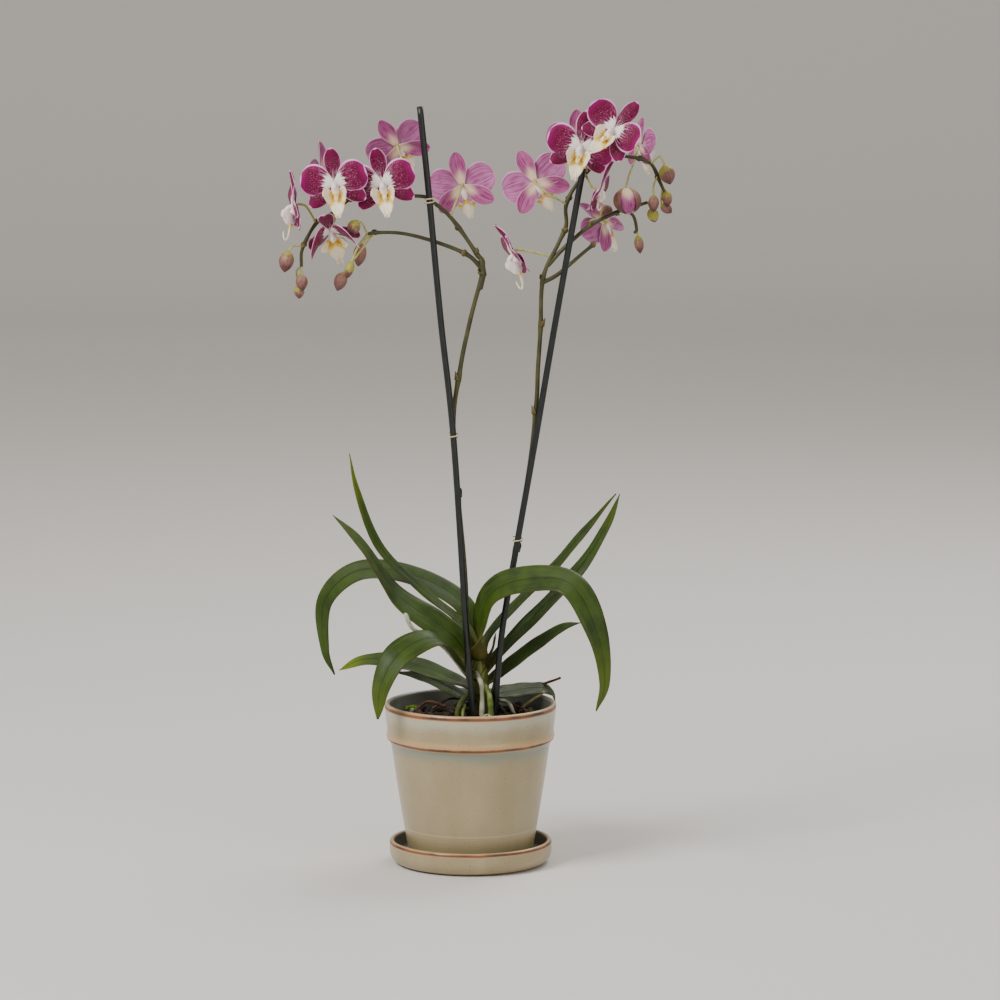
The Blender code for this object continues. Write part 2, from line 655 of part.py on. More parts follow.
def flower(name, centre, facing, dorsal, size, route, stems, pink):
    """A moth-orchid flower with its pedicel. facing is the way it looks, dorsal the way its top sepal
    points, and route the places that its pedicel passes on the way to the stem."""
    reach = FLOWER_REACH * size
    base, sepal, petal = 0.02 * reach, 0.235 * reach, 0.43 * reach
    pieces = [
        tepal("dorsal_sepal", base, 0.94 * reach, sepal, pi * 0.5, -0.0009, 0.06, 0.42, 1),
        tepal("left_sepal", base, 0.86 * reach, sepal, pi * 1.26, -0.0011, 0.06, 0.42, 1),
        tepal("right_sepal", base, 0.86 * reach, sepal, pi * 1.74, -0.0013, 0.06, 0.42, 1),
        tepal("left_petal", base, 0.98 * reach, petal, pi * 0.93, 0.0008, 0.02, 0.36, 2),
        tepal("right_petal", base, 0.98 * reach, petal, pi * 0.07, 0.0010, 0.02, 0.36, 2),
        lip("lip", reach),
    ]
    forward = Vector(facing).normalized()
    across = Vector(dorsal).cross(forward).normalized()
    upward = forward.cross(across)
    middle = on_plant(*centre)
    for piece in pieces:
        for vert in piece.data.vertices:
            vert.co = middle + vert.co.x * across + vert.co.y * upward + vert.co.z * forward
    via = [on_plant(*place) for place in route[:-1]]
    back = middle - 0.22 * reach * forward
    end = attached(stems, route[-1], (via or [back])[-1])
    neck = [middle + 0.22 * reach * forward, middle, back, *via, end]
    count = len(neck) + 3
    radii = [max(PEDICEL_RADIUS, 0.075 * reach * (1 - 2.2 * k / count)) for k in range(count)]
    stalk = tube(name, smooth_path(neck, count), radii, None, HELPERS, roundness=1)
    stalk = add_helper(name + "_stalk", as_mesh(stalk))
    united([stalk, *pieces], name, pink)


BUD_OUTLINE = ((0.0, 0.35), (0.12, 0.75), (0.35, 1.0), (0.62, 0.93), (0.86, 0.55), (1.0, 0.15))


def bud(name, neck, tip, radius, route, stems, colour):
    """A bud and its pedicel as one tube that swells. neck is where the bud starts."""
    neck, tip = on_plant(*neck), on_plant(*tip)
    via = [on_plant(*place) for place in route[:-1]]
    end = attached(stems, route[-1], (via or [neck])[-1])
    stalk = smooth_path([end, *via, neck], 3 + 2 * len(via))
    path = stalk[:-1] + [neck.lerp(tip, t) for t, _ in BUD_OUTLINE]
    radii = [PEDICEL_RADIUS] * (len(stalk) - 1) + [radius * share for _, share in BUD_OUTLINE]
    tube(name, path, radii, colour, ORCHID, roundness=1)


# name: middle, facing, dorsal sepal's direction, size, pedicel's route to its node on the stem
LEFT_FLOWERS = {
    "flower_left_end": ((-0.138, 0.002, 0.405), (-1, -0.12, -0.1), (-0.1, 0, 1), 1.0,
                        [(-0.127, 0.003, 0.403), (-0.120, 0.005, 0.392)]),
    "flower_left_front": ((-0.105, -0.018, 0.424), (-0.1, -1, -0.05), (-0.16, 0, 1), 1.0,
                          [(-0.104, -0.004, 0.420), (-0.098, 0.006, 0.408)]),
    "flower_left_second": ((-0.068, -0.014, 0.424), (-0.1, -1, -0.05), (-0.2, 0, 1), 1.0,
                           [(-0.068, -0.002, 0.421), (-0.066, 0.005, 0.413)]),
    "flower_left_top": ((-0.057, 0.024, 0.450), (-0.1, 0.9, 0.3), (-0.5, 0, 0.85), 0.95,
                        [(-0.050, 0.010, 0.430), (-0.048, 0.005, 0.413)]),
    "flower_left_inner": ((-0.006, 0.018, 0.419), (0.1, 1, 0), (-0.2, 0, 1), 1.0,
                          [(-0.010, 0.008, 0.410), (-0.015, 0.006, 0.396)]),
    "flower_left_nodding": ((-0.106, 0.014, 0.381), (-0.15, -0.6, -0.78), (-0.6, 0, 0.3), 0.8,
                            [(-0.106, 0.014, 0.392), (-0.107, 0.005, 0.399)]),
    "flower_left_behind": ((-0.109, 0.026, 0.427), (-0.93, 0.4, 0), (-0.5, 0, 0.87), 0.95,
                           [(-0.098, 0.014, 0.420), (-0.091, 0.006, 0.411)]),
}
RIGHT_FLOWERS = {
    "flower_right_inner": ((0.051, 0.008, 0.423), (0.1, 1, 0), (-0.49, 0, 0.87), 1.0,
                           [(0.060, -0.001, 0.415), (0.073, 0.006, 0.406)]),
    "flower_right_low": ((0.034, 0.002, 0.368), (-0.78, -0.12, -0.62), (-0.62, 0, 0.78), 0.95,
                         [(0.045, 0.001, 0.372), (0.056, -0.002, 0.369), (0.067, 0.004, 0.371)]),
    "flower_right_front": ((0.086, -0.018, 0.453), (-0.1, -1, -0.05), (0.2, 0, 1), 1.0,
                           [(0.089, -0.006, 0.445), (0.092, 0.006, 0.431)]),
    "flower_right_top": ((0.111, -0.032, 0.469), (-0.3, -0.92, 0.15), (0.67, 0, 0.75), 0.95,
                         [(0.109, -0.012, 0.460), (0.108, 0.006, 0.444)]),
    "flower_right_behind": ((0.083, 0.028, 0.454), (0, 1, 0.1), (0, 0, 1), 0.9,
                            [(0.088, 0.015, 0.446), (0.098, 0.006, 0.438)]),
    "flower_right_back": ((0.134, 0.026, 0.450), (0.9, 0.45, -0.1), (-0.2, 0, 1), 0.82,
                          [(0.130, 0.012, 0.446), (0.128, 0.006, 0.442)]),
    "flower_right_edge": ((0.101, -0.016, 0.418), (0.91, -0.1, -0.39), (0.39, 0, 0.92), 0.85,
                          [(0.094, -0.006, 0.421), (0.090, 0.0066, 0.429)]),
    "flower_right_drooping": ((0.099, 0.030, 0.389), (-0.8, 0.35, -0.5), (-0.5, 0, 0.8), 0.8,
                              [(0.095, 0.018, 0.392), (0.093, 0.005, 0.388)]),
}

# name: neck, tip, radius, pedicel's route to its node on the stem
LEFT_BUDS = {
    "bud_left_outer": ((-0.142, 0.001, 0.369), (-0.145, -0.002, 0.353), 0.0062,
                       [(-0.138, 0.003, 0.373), (-0.130, 0.005, 0.372)]),
    "bud_left_hanging": ((-0.132, 0.003, 0.351), (-0.131, 0.001, 0.338), 0.0048, [(-0.132, 0.005, 0.357)]),
    "bud_left_tip": ((-0.134, 0.010, 0.342), (-0.134, 0.011, 0.331), 0.0042,
                     [(-0.136, 0.009, 0.352), (-0.132, 0.005, 0.358)]),
    "bud_branch_top": ((-0.088, -0.012, 0.394), (-0.093, -0.014, 0.383), 0.0052,
                       [(-0.084, -0.010, 0.392), (-0.080, -0.003, 0.383)]),
    "bud_branch_dark": ((-0.085, 0.013, 0.374), (-0.088, 0.015, 0.356), 0.0052,
                        [(-0.078, 0.009, 0.381), (-0.073, -0.002, 0.384)]),
    "bud_branch_green": ((-0.092, -0.010, 0.362), (-0.096, -0.012, 0.349), 0.0036,
                         [(-0.087, -0.008, 0.374), (-0.080, -0.003, 0.383)]),
    "bud_branch_low": ((-0.099, 0.003, 0.352), (-0.104, 0.003, 0.338), 0.0052,
                       [(-0.085, 0.003, 0.370), (-0.075, -0.002, 0.384)]),
}
RIGHT_BUDS = {
    "bud_right_outer": ((0.152, 0.002, 0.436), (0.156, 0.000, 0.421), 0.0058,
                        [(0.148, 0.004, 0.443), (0.141, 0.006, 0.438)]),
    "bud_right_hanging": ((0.143, -0.003, 0.413), (0.143, -0.005, 0.400), 0.0042,
                          [(0.143, 0.000, 0.420), (0.145, 0.006, 0.428)]),
    "bud_right_tip": ((0.155, 0.007, 0.409), (0.156, 0.009, 0.397), 0.0038, [(0.153, 0.006, 0.412)]),
    "bud_right_end": ((0.141, 0.008, 0.405), (0.145, 0.011, 0.394), 0.0045, [(0.138, 0.004, 0.407)]),
    "bud_right_low": ((0.131, 0.005, 0.381), (0.133, 0.005, 0.367), 0.0037, [(0.130, 0.005, 0.386)]),
    "bud_opening": ((0.121, -0.010, 0.419), (0.123, -0.012, 0.399), 0.0105,
                    [(0.124, -0.001, 0.429), (0.128, 0.006, 0.441)]),
    "bud_behind_branch": ((0.105, 0.013, 0.404), (0.109, 0.015, 0.395), 0.0048,
                          [(0.103, 0.011, 0.400), (0.101, 0.005, 0.393)]),
}


# ---- assembly -----------------------------------------------------------------------------------
clear_scene()
ORCHID = new_collection("potted_orchid")
HELPERS = new_collection("cutters", hidden=True)
SOCKETS = bpy.data.collections.new("sockets")

GLAZE = new_material("glaze", (0.50, 0.46, 0.36), 0.35)
BARK = new_material("bark", (0.045, 0.030, 0.020), 0.9)
MOSS = new_material("moss", (0.09, 0.18, 0.02), 0.9)
LEAF_GREEN = new_material("leaf_green", (0.05, 0.12, 0.015), 0.4)
CROWN_GREEN = new_material("crown_green", (0.10, 0.16, 0.03), 0.5)
ROOT_GREEN = new_material("root_green", (0.16, 0.22, 0.06), 0.6)
ROOT_SILVER = new_material("root_silver", (0.38, 0.38, 0.28), 0.7)
ROOT_DRY = new_material("root_dry", (0.20, 0.12, 0.07), 0.8)
STAKE_DARK = new_material("stake_dark", (0.010, 0.014, 0.010), 0.35)
TIE_TAN = new_material("tie_tan", (0.45, 0.38, 0.22), 0.5)
SPIKE_OLIVE = new_material("spike_olive", (0.11, 0.11, 0.035), 0.5)
PETAL_PINK = new_material("petal_pink", (0.42, 0.05, 0.20), 0.5)
BUD_PINK = new_material("bud_pink", (0.38, 0.18, 0.16), 0.5)

add_saucer(GLAZE)
add_pot(GLAZE)
add_moss(MOSS)
add_crown(CROWN_GREEN)
for leaf_name, (height, places, widths, faces) in LEAVES.items():
    leaf(leaf_name, height, places, widths, faces, LEAF_GREEN)
add_rim_leaf(LEAF_GREEN)
add_roots(ROOT_GREEN, ROOT_SILVER, ROOT_DRY)
stake_paths = {stake_name: add_stake(stake_name, STAKE_DARK) for stake_name in STAKES}
spike_stems = add_spikes(SPIKE_OLIVE, stake_paths)
tie("tie_left_low", stake_paths["stake_left"], LEFT_TIE_Z, 1.4, True, TIE_TAN)
tie("tie_left_high", stake_paths["stake_left"], LEFT_CLIP_Z, 2.3, False, TIE_TAN)
tie("tie_right", stake_paths["stake_right"], RIGHT_TIE_Z, 1.4, True, TIE_TAN)
for flowers, buds, stems in (
    (LEFT_FLOWERS, LEFT_BUDS, spike_stems["spike_left"]),
    (RIGHT_FLOWERS, RIGHT_BUDS, spike_stems["spike_right"]),
):
    for flower_name, details in flowers.items():
        flower(flower_name, *details, stems, PETAL_PINK)
    for bud_name, details in buds.items():
        bud(bud_name, *details, stems, BUD_PINK)
add_medium(BARK, SOCKETS)
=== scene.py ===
from math import cos, exp, pi, radians, sin, tau
from random import Random

import bmesh
import bpy
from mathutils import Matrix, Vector


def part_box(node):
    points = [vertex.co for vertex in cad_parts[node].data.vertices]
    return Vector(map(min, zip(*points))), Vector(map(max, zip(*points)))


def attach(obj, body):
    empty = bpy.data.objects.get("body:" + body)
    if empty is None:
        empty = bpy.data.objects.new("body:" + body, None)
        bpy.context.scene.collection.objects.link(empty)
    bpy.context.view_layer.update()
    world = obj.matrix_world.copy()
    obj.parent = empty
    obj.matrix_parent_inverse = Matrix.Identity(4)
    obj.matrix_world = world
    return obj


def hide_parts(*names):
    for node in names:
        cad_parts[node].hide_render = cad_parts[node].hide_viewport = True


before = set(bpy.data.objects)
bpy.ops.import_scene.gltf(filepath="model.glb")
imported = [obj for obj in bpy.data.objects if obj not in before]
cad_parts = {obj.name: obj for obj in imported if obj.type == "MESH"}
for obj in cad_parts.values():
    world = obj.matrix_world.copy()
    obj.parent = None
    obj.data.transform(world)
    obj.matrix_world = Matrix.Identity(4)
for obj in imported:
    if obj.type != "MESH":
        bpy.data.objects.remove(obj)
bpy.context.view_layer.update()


# ---- camera, light and floor ---------------------------------------------------------------------
# A long lens a little above the flowers, looking slightly down, over a pale floor that rises far behind
# into a backdrop, under soft square panels from the upper left, the front right and behind.
camera = bpy.data.objects.new("camera", bpy.data.cameras.new("camera"))
camera.data.lens, camera.data.sensor_width = 180, 36
camera.data.clip_end = 60
camera.location = (0.0233, -3.893, 0.8157)
camera.rotation_euler = (radians(90 - 7.7), 0, 0)
bpy.context.scene.collection.objects.link(camera)
bpy.context.scene.camera = camera

for panel, place, size, power in (
    ("key_panel", (-1.7, -1.5, 2.3), 1.2, 84),
    ("front_panel", (1.6, -2.4, 1.2), 1.8, 20),
    ("back_panel", (0.9, 1.3, 2.0), 1.2, 26),
):
    light = bpy.data.objects.new(panel, bpy.data.lights.new(panel, "AREA"))
    light.data.shape, light.data.size, light.data.energy = "SQUARE", size, power
    light.location = place
    light.rotation_euler = (Vector((0, 0, 0.32)) - light.location).to_track_quat("-Z", "Y").to_euler()
    bpy.context.scene.collection.objects.link(light)

world = bpy.data.worlds.new("studio")
world.use_nodes = True
world.node_tree.nodes["Background"].inputs["Color"].default_value = (1.0, 0.97, 0.93, 1)
world.node_tree.nodes["Background"].inputs["Strength"].default_value = 0.50
bpy.context.scene.world = world

sweep_radius, sweep_steps, wall_y, wall_top, side = 1.0, 12, 5.4, 5.0, 12.0
backdrop_line = [(-side, 0.0), (wall_y - sweep_radius, 0.0)]
for step in range(1, sweep_steps + 1):
    turn = pi / 2 * step / sweep_steps
    backdrop_line.append((wall_y - sweep_radius * (1 - sin(turn)), sweep_radius * (1 - cos(turn))))
backdrop_line.append((wall_y, wall_top))
sheet = bpy.data.meshes.new("floor")
sheet.from_pydata(
    [(x, y, z) for y, z in backdrop_line for x in (-side, side)], [],
    [(2 * i, 2 * i + 1, 2 * i + 3, 2 * i + 2) for i in range(len(backdrop_line) - 1)],
)
sheet.shade_smooth()
floor = bpy.data.objects.new("floor", sheet)
bpy.context.scene.collection.objects.link(floor)
paper = bpy.data.materials.new("pale_paper")
paper.use_nodes = True
paper.node_tree.nodes["Principled BSDF"].inputs["Base Color"].default_value = (0.72, 0.69, 0.65, 1)
paper.node_tree.nodes["Principled BSDF"].inputs["Roughness"].default_value = 0.8
sheet.materials.append(paper)


# ---- saucer --------------------------------------------------------------------------------------
# A low stoneware saucer with a rounded rim and an upright wall, thrown on a wheel, dipped in a satin
# cream glaze that breaks to orange brown where it runs thin over the rim and the turned edges.
def tint(red, green, blue):
    """A colour as the eye reads it, 0 to 255, in the linear values that a shader takes."""
    shares = [value / 255 for value in (red, green, blue)]
    return (*[share / 12.92 if share <= 0.04045 else ((share + 0.055) / 1.055) ** 2.4 for share in shares], 1)


def new_node(tree, kind, settings, sockets):
    """Adds a node to a tree. settings are its own properties, sockets its inputs' values or wires."""
    made = tree.nodes.new(kind)
    for setting, value in (settings or {}).items():
        setattr(made, setting, value)
    for socket, value in (sockets or {}).items():
        value = getattr(value, "socket", value)
        if isinstance(value, bpy.types.NodeSocket):
            tree.links.new(value, made.inputs[socket])
        else:
            made.inputs[socket].default_value = value
    return made


class Wire:
    """One socket of a finish's nodes, for shader maths on numbers."""

    def __init__(self, finish, socket):
        self.finish, self.socket = finish, socket

    def maths(self, operation, *others):
        return self.finish.node("ShaderNodeMath", {"operation": operation}, dict(enumerate((self, *others))))

    def __add__(self, other):
        return self.maths("ADD", other)

    def __sub__(self, other):
        return self.maths("SUBTRACT", other)

    def __rsub__(self, other):
        return self.maths("MULTIPLY_ADD", -1, other)

    def __mul__(self, other):
        return self.maths("MULTIPLY", other)

    def __pow__(self, other):
        return self.maths("POWER", other)

    __radd__, __rmul__ = __add__, __mul__

    def rise(self, start, end):
        """0 below start and 1 above end, eased between; start may be the larger."""
        return self.finish.node("ShaderNodeMapRange", {"interpolation_type": "SMOOTHSTEP"},
                                {"Value": self, "From Min": start, "From Max": end})

    def most(self, other):
        return self.maths("MAXIMUM", other)


class Finish:
    """A material of one Principled BSDF. Even values sit on its own sockets, and varying ones are wired."""

    def __init__(self, name, **values):
        self.material = bpy.data.materials.new(name)
        self.material.use_nodes = True
        self.tree = self.material.node_tree
        self.shader = self.tree.nodes["Principled BSDF"]
        for socket, value in values.items():
            self.shader.inputs[socket.replace("_", " ").title().replace("Ior", "IOR")].default_value = value

    def node(self, kind, settings=None, sockets=None, output=0):
        return Wire(self, new_node(self.tree, kind, settings, sockets).outputs[output])

    def place(self):
        return self.node("ShaderNodeTexCoord", output="Object")

    def axes(self, vector):
        return [self.node("ShaderNodeSeparateXYZ", sockets={0: vector}, output=axis) for axis in range(3)]

    def vector(self, x, y, z):
        return self.node("ShaderNodeCombineXYZ", sockets={0: x, 1: y, 2: z})

    def along(self):
        """How far along the piece and how far across it, each 0 to 1, and the piece's own number."""
        way = self.node("ShaderNodeUVMap", {"uv_map": "run"})
        run, across, _ = self.axes(way)
        return run, across, self.node("ShaderNodeAttribute", {"attribute_name": "own_number"}, output="Fac")

    def noise(self, vector, scale, detail=2.0, roughness=0.5):
        return self.node("ShaderNodeTexNoise",
                         sockets={"Vector": vector, "Scale": scale, "Detail": detail, "Roughness": roughness})

    def mix(self, amount, first, second):
        return self.node("ShaderNodeMix", {"data_type": "RGBA"}, {0: amount, 6: first, 7: second}, 2)

    def finish(self, colour=None, roughness=None, height=None, depth=0.0003):
        """Wires up what varies, with height as a bump of that depth, and gives back the material."""
        for socket, value in (("Base Color", colour), ("Roughness", roughness)):
            if value:
                self.tree.links.new(value.socket, self.shader.inputs[socket])
        if height:
            bump = self.node("ShaderNodeBump", sockets={"Height": height, "Strength": 1.0, "Distance": depth})
            self.tree.links.new(bump.socket, self.shader.inputs["Normal"])
        return self.material


def turned(name, profile, steps=144):
    """A thrown shape: the profile, a closed loop of (radius, height), carried round the Z axis."""
    mesh = bpy.data.meshes.new(name)
    points, rings = [], []
    for radius, height in profile:
        if radius < 1e-6:
            rings.append([len(points)] * steps)
            points.append((0, 0, height))
        else:
            rings.append(list(range(len(points), len(points) + steps)))
            angles = [tau * k / steps for k in range(steps)]
            points += [(radius * cos(angle), radius * sin(angle), height) for angle in angles]
    faces = []
    for low, high in zip(rings, rings[1:] + rings[:1]):
        for k in range(steps):
            corners = dict.fromkeys((low[k], high[k], high[(k + 1) % steps], low[(k + 1) % steps]))
            if len(corners) > 2:
                faces.append(tuple(corners))
    mesh.from_pydata(points, [], faces)
    return added(name, mesh)


def placed(name, mesh, *finishes):
    """Puts a mesh in the scene with its finishes, riding on the body."""
    piece = bpy.data.objects.new(name, mesh)
    bpy.context.scene.collection.objects.link(piece)
    for finish in finishes:
        mesh.materials.append(finish)
    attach(piece, "root")
    return piece


def added(name, mesh):
    """Turns the faces of a closed mesh outwards, smooths them and puts the mesh in the scene."""
    bm = bmesh.new()
    bm.from_mesh(mesh)
    bmesh.ops.recalc_face_normals(bm, faces=bm.faces)
    bm.to_mesh(mesh)
    bm.free()
    mesh.shade_smooth()
    return placed(name, mesh)


def arc(centre, radius, start, end, count):
    """count points on an arc. start and end are in whole turns."""
    angles = [tau * (start + (end - start) * k / (count - 1)) for k in range(count)]
    return [(centre[0] + radius * cos(a), centre[1] + radius * sin(a)) for a in angles]


def glaze(name, edges, pools_and_shade, seams, foot_z, inside):
    """Satin glaze. edges are (height, spread) of its thin brown lines, pools_and_shade the (height, colour)
    of bands below an edge where it has run thick, darkened with painted shade where a band lies under an
    overhang, seams the heights of fine pale turning lines, foot_z where it is wiped off, and inside(radius,
    z) how much of a place is on the inner wall, painted dark partly as its glaze and partly as painted shade."""
    coat = Finish(name, coat_weight=0.35, coat_roughness=0.16, specular_ior_level=0.5)
    place = coat.place()
    x, y, z = coat.axes(place)
    radius = (x * x + y * y) ** 0.5
    cloud = coat.noise(place, 30, 4, 0.6)
    run = coat.noise(coat.vector(x * 60, y * 60, z * 9), 1.0, 3)
    within = inside(radius, z)
    body = coat.mix(cloud.rise(0.25, 0.78), tint(152, 136, 101), tint(162, 146, 110))
    body = coat.mix(run.rise(0.35, 0.8) * 0.4, body, tint(174, 159, 120))
    # Bands of glaze run thick below an edge. The band under the collar is also darkened as painted shade of
    # the collar's overhang.
    for pool, shade in pools_and_shade:
        thick = ((z - pool) + (run - 0.5) * 0.008).rise(-0.012, -0.001) * (z - pool).rise(0.0012, 0.0004)
        body = coat.mix(thick * 0.8, body, shade)
    for height in seams:
        seam = (z - height).maths("ABSOLUTE").rise(0.0009, 0.0003)
        body = coat.mix(seam * 0.35, body, tint(196, 184, 150))
    thin, warm = 0.0, 0.0
    for height, spread in edges:
        wobble = z + (run - 0.5) * spread * 0.7
        away = (wobble - height).maths("ABSOLUTE")
        thin = away.rise(spread, spread * 0.3).most(thin)
        warm = (wobble - height - spread * 1.2).maths("ABSOLUTE").rise(spread * 3.2, spread * 0.8).most(warm)
    body = coat.mix(warm * 0.55, body, tint(204, 160, 104))
    orange = coat.mix(run.rise(0.30, 0.62), tint(64, 32, 14), tint(132, 70, 32))
    body = coat.mix(thin * (1 - within), body, orange)
    # The inner wall is painted dark grey green. This is partly the glaze's own colour there and partly
    # painted shade inside the pot and the saucer.
    body = coat.mix(within * 0.92, body, coat.mix(cloud, tint(72, 78, 72), tint(112, 116, 106)))
    specks = coat.noise(place, 900, 1).rise(0.68, 0.74) * coat.noise(place, 160, 1).rise(0.42, 0.60)
    body = coat.mix(specks * 0.7, body, tint(88, 60, 40))
    foot = z.rise(foot_z + 0.0022, foot_z + 0.0010)
    body = coat.mix(foot, body, tint(98, 62, 38))
    rings = coat.node("ShaderNodeTexWave", {"bands_direction": "Z"},
                      {"Vector": place, "Scale": 190, "Distortion": 1.5, "Detail": 1})
    rough = 0.26 + 0.16 * cloud + 0.2 * thin + 0.35 * foot
    return coat.finish(body, rough, cloud * 0.6 + rings * 0.12 + specks * 0.15, 0.0004)


low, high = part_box("saucer")
saucer_radius, saucer_top = high.x, high.z
saucer_wall, saucer_floor, saucer_foot, saucer_corner = 0.0040, 0.0045, 0.0105, 0.006
lip = saucer_wall / 2
inner = saucer_radius - saucer_wall
saucer_profile = arc((saucer_radius - lip, saucer_top - lip), lip, 0.5, 0, 14)
saucer_profile += [(saucer_radius - 0.0002, saucer_top * 0.80), (saucer_radius, saucer_top * 0.70)]
saucer_profile += arc((saucer_radius - saucer_foot, saucer_foot), saucer_foot, 0, -0.25, 16)
saucer_profile += [(saucer_radius * 0.55, 0.0), (0, 0.0), (0, saucer_floor), (inner * 0.5, saucer_floor)]
saucer_profile += arc((inner - saucer_corner, saucer_floor + saucer_corner), saucer_corner, -0.25, 0, 10)
saucer = turned("saucer_glazed", saucer_profile)
saucer_glaze = glaze("saucer_glaze", ((saucer_top - 0.0017, 0.0015),), (), (), 0.0,
                     lambda radius, z: radius.rise(saucer_radius - 0.0028, saucer_radius - 0.0034)
                     * z.rise(0.0036, 0.0042))
saucer.data.materials.append(saucer_glaze)
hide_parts("saucer")


# ---- pot -----------------------------------------------------------------------------------------
# The matching pot: a tapering wall under a straight collar, turned on the wheel, with a drain hole in
# its floor. Its glaze runs brown at the rim and the collar's edge and is wiped off the foot.
low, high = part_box("pot")
pot_foot, rim_radius, rim_top = low.z, high.x, high.z
wall, collar_height, collar_taper, collar_step = 0.0042, 0.0287, 0.0018, 0.0032
foot_radius, foot_round, floor_top, drain = 0.0485, 0.0015, low.z + 0.006, 0.006
lip = wall / 2
collar_foot, collar_low = rim_radius - collar_taper, rim_top - collar_height
body_radius, body_top = collar_foot - collar_step, rim_top - collar_height - collar_step
pot_profile = arc((rim_radius - lip, rim_top - lip), lip, 0.5, 0, 14)
pot_profile += [(rim_radius - 0.0002, rim_top - 0.006), (rim_radius - 0.0011, rim_top - 0.014),
                (collar_foot - 0.0003, collar_low + 0.0068), (collar_foot + 0.0003, collar_low + 0.0048),
                (collar_foot + 0.0005, collar_low + 0.0026)]
pot_profile += arc((collar_foot - 0.0011, collar_low + 0.0012), 0.0012, 0.02, -0.2, 8)
pot_profile += [(body_radius + 0.0006, body_top + 0.0009), (body_radius, body_top - 0.001)]
wall_steps = 14
for step in range(1, wall_steps):
    share = step / wall_steps
    belly = 0.0006 * sin(pi * share)
    pot_profile.append((body_radius + (foot_radius - body_radius) * share + belly,
                        body_top + (pot_foot + foot_round - body_top) * share))
pot_profile += arc((foot_radius - foot_round, pot_foot + foot_round), foot_round, 0, -0.25, 6)
pot_profile += [(drain, pot_foot), (drain, floor_top), (foot_radius - wall, floor_top)]
pot_profile += [(body_radius - wall, body_top), (rim_radius - wall, rim_top - 0.012)]
pot = turned("pot_glazed", pot_profile, 168)
flare = (rim_radius - foot_radius) / (rim_top - pot_foot)
# The second band, just under the collar, is blue-grey pooled glaze with painted shade at its top, under the
# collar's overhang.
pot_glaze = glaze("pot_glaze", ((rim_top - 0.0026, 0.0019), (collar_low + 0.0006, 0.0017)),
                  ((rim_top - 0.0050, tint(178, 176, 154)), (body_top + 0.0012, tint(122, 132, 118))),
                  (body_top - 0.0668,), pot_foot,
                  lambda radius, z: (radius - foot_radius + wall * 0.45 - (z - pot_foot) * flare)
                  .rise(0.0003, -0.0003))
pot.data.materials.append(pot_glaze)
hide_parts("pot")


# ---- medium --------------------------------------------------------------------------------------
# Chunks of damp fir bark heaped nearly to the rim. The chips are cut blocks, scattered and bent by
# the tree, over a plain core that fills the pot below them.
low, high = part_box("medium")
medium_top, medium_foot, medium_radius = high.z, low.z, high.x


class Tree:
    """A Geometry Nodes tree: its inputs are named sizes, and node() adds and wires one node."""

    def __init__(self, name, **sizes):
        self.group = bpy.data.node_groups.new(name, "GeometryNodeTree")
        face = self.group.interface
        face.new_socket("Geometry", in_out="INPUT", socket_type="NodeSocketGeometry")
        self.sizes = {}
        for size, value in sizes.items():
            kind = "NodeSocketInt" if isinstance(value, int) else "NodeSocketFloat"
            socket = face.new_socket(size, in_out="INPUT", socket_type=kind)
            self.sizes[size] = (socket.identifier, value)
        face.new_socket("Geometry", in_out="OUTPUT", socket_type="NodeSocketGeometry")
        self.entry = self.group.nodes.new("NodeGroupInput")

    def size(self, name):
        return self.entry.outputs[name]

    def node(self, kind, settings=None, sockets=None, output=0):
        return new_node(self.group, kind, settings, sockets).outputs[output]

    def grow(self, name, seedbed, result, finish):
        """Runs the tree on a mesh and gives back a plain mesh, with every instance made real."""
        real = self.node("GeometryNodeRealizeInstances", sockets={0: result})
        coloured = self.node("GeometryNodeSetMaterial", sockets={"Geometry": real, "Material": finish})
        leave = self.group.nodes.new("NodeGroupOutput")
        self.group.links.new(coloured, leave.inputs["Geometry"])
        bed = bpy.data.objects.new(name + "_bed", seedbed)
        bpy.context.scene.collection.objects.link(bed)
        modifier = bed.modifiers.new(name, "NODES")
        modifier.node_group = self.group
        for identifier, value in self.sizes.values():
            modifier[identifier] = value
        mesh = bpy.data.meshes.new_from_object(bed.evaluated_get(bpy.context.evaluated_depsgraph_get()))
        bpy.data.objects.remove(bed)
        mesh.name = name
        return mesh


def disc(name, radius, centre=(0.0, 0.0, 0.0), rings=6, around=24):
    """A flat disc to scatter things on."""
    points = [(centre[0], centre[1], centre[2])]
    faces = []
    for ring in range(1, rings + 1):
        r = radius * ring / rings
        points += [(centre[0] + r * cos(tau * k / around), centre[1] + r * sin(tau * k / around), centre[2])
                   for k in range(around)]
        for k in range(around):
            a, b = 1 + (ring - 1) * around + k, 1 + (ring - 1) * around + (k + 1) % around
            faces.append((0, a, b) if ring == 1 else (a - around, a, b, b - around))
    mesh = bpy.data.meshes.new(name)
    mesh.from_pydata(points, [], faces)
    return mesh


bark = Finish("fir_bark", specular_ior_level=0.3)
place = bark.place()
grain = bark.noise(place, 420, 4, 0.65)
patch = bark.noise(place, 70, 2)
bark_colour = bark.mix(patch.rise(0.35, 0.68), tint(24, 17, 12), tint(56, 39, 27))
bark_colour = bark.mix(grain.rise(0.52, 0.75) * 0.6, bark_colour, tint(92, 68, 48))
bark_finish = bark.finish(bark_colour, 0.62 + 0.3 * grain, grain, 0.0012)

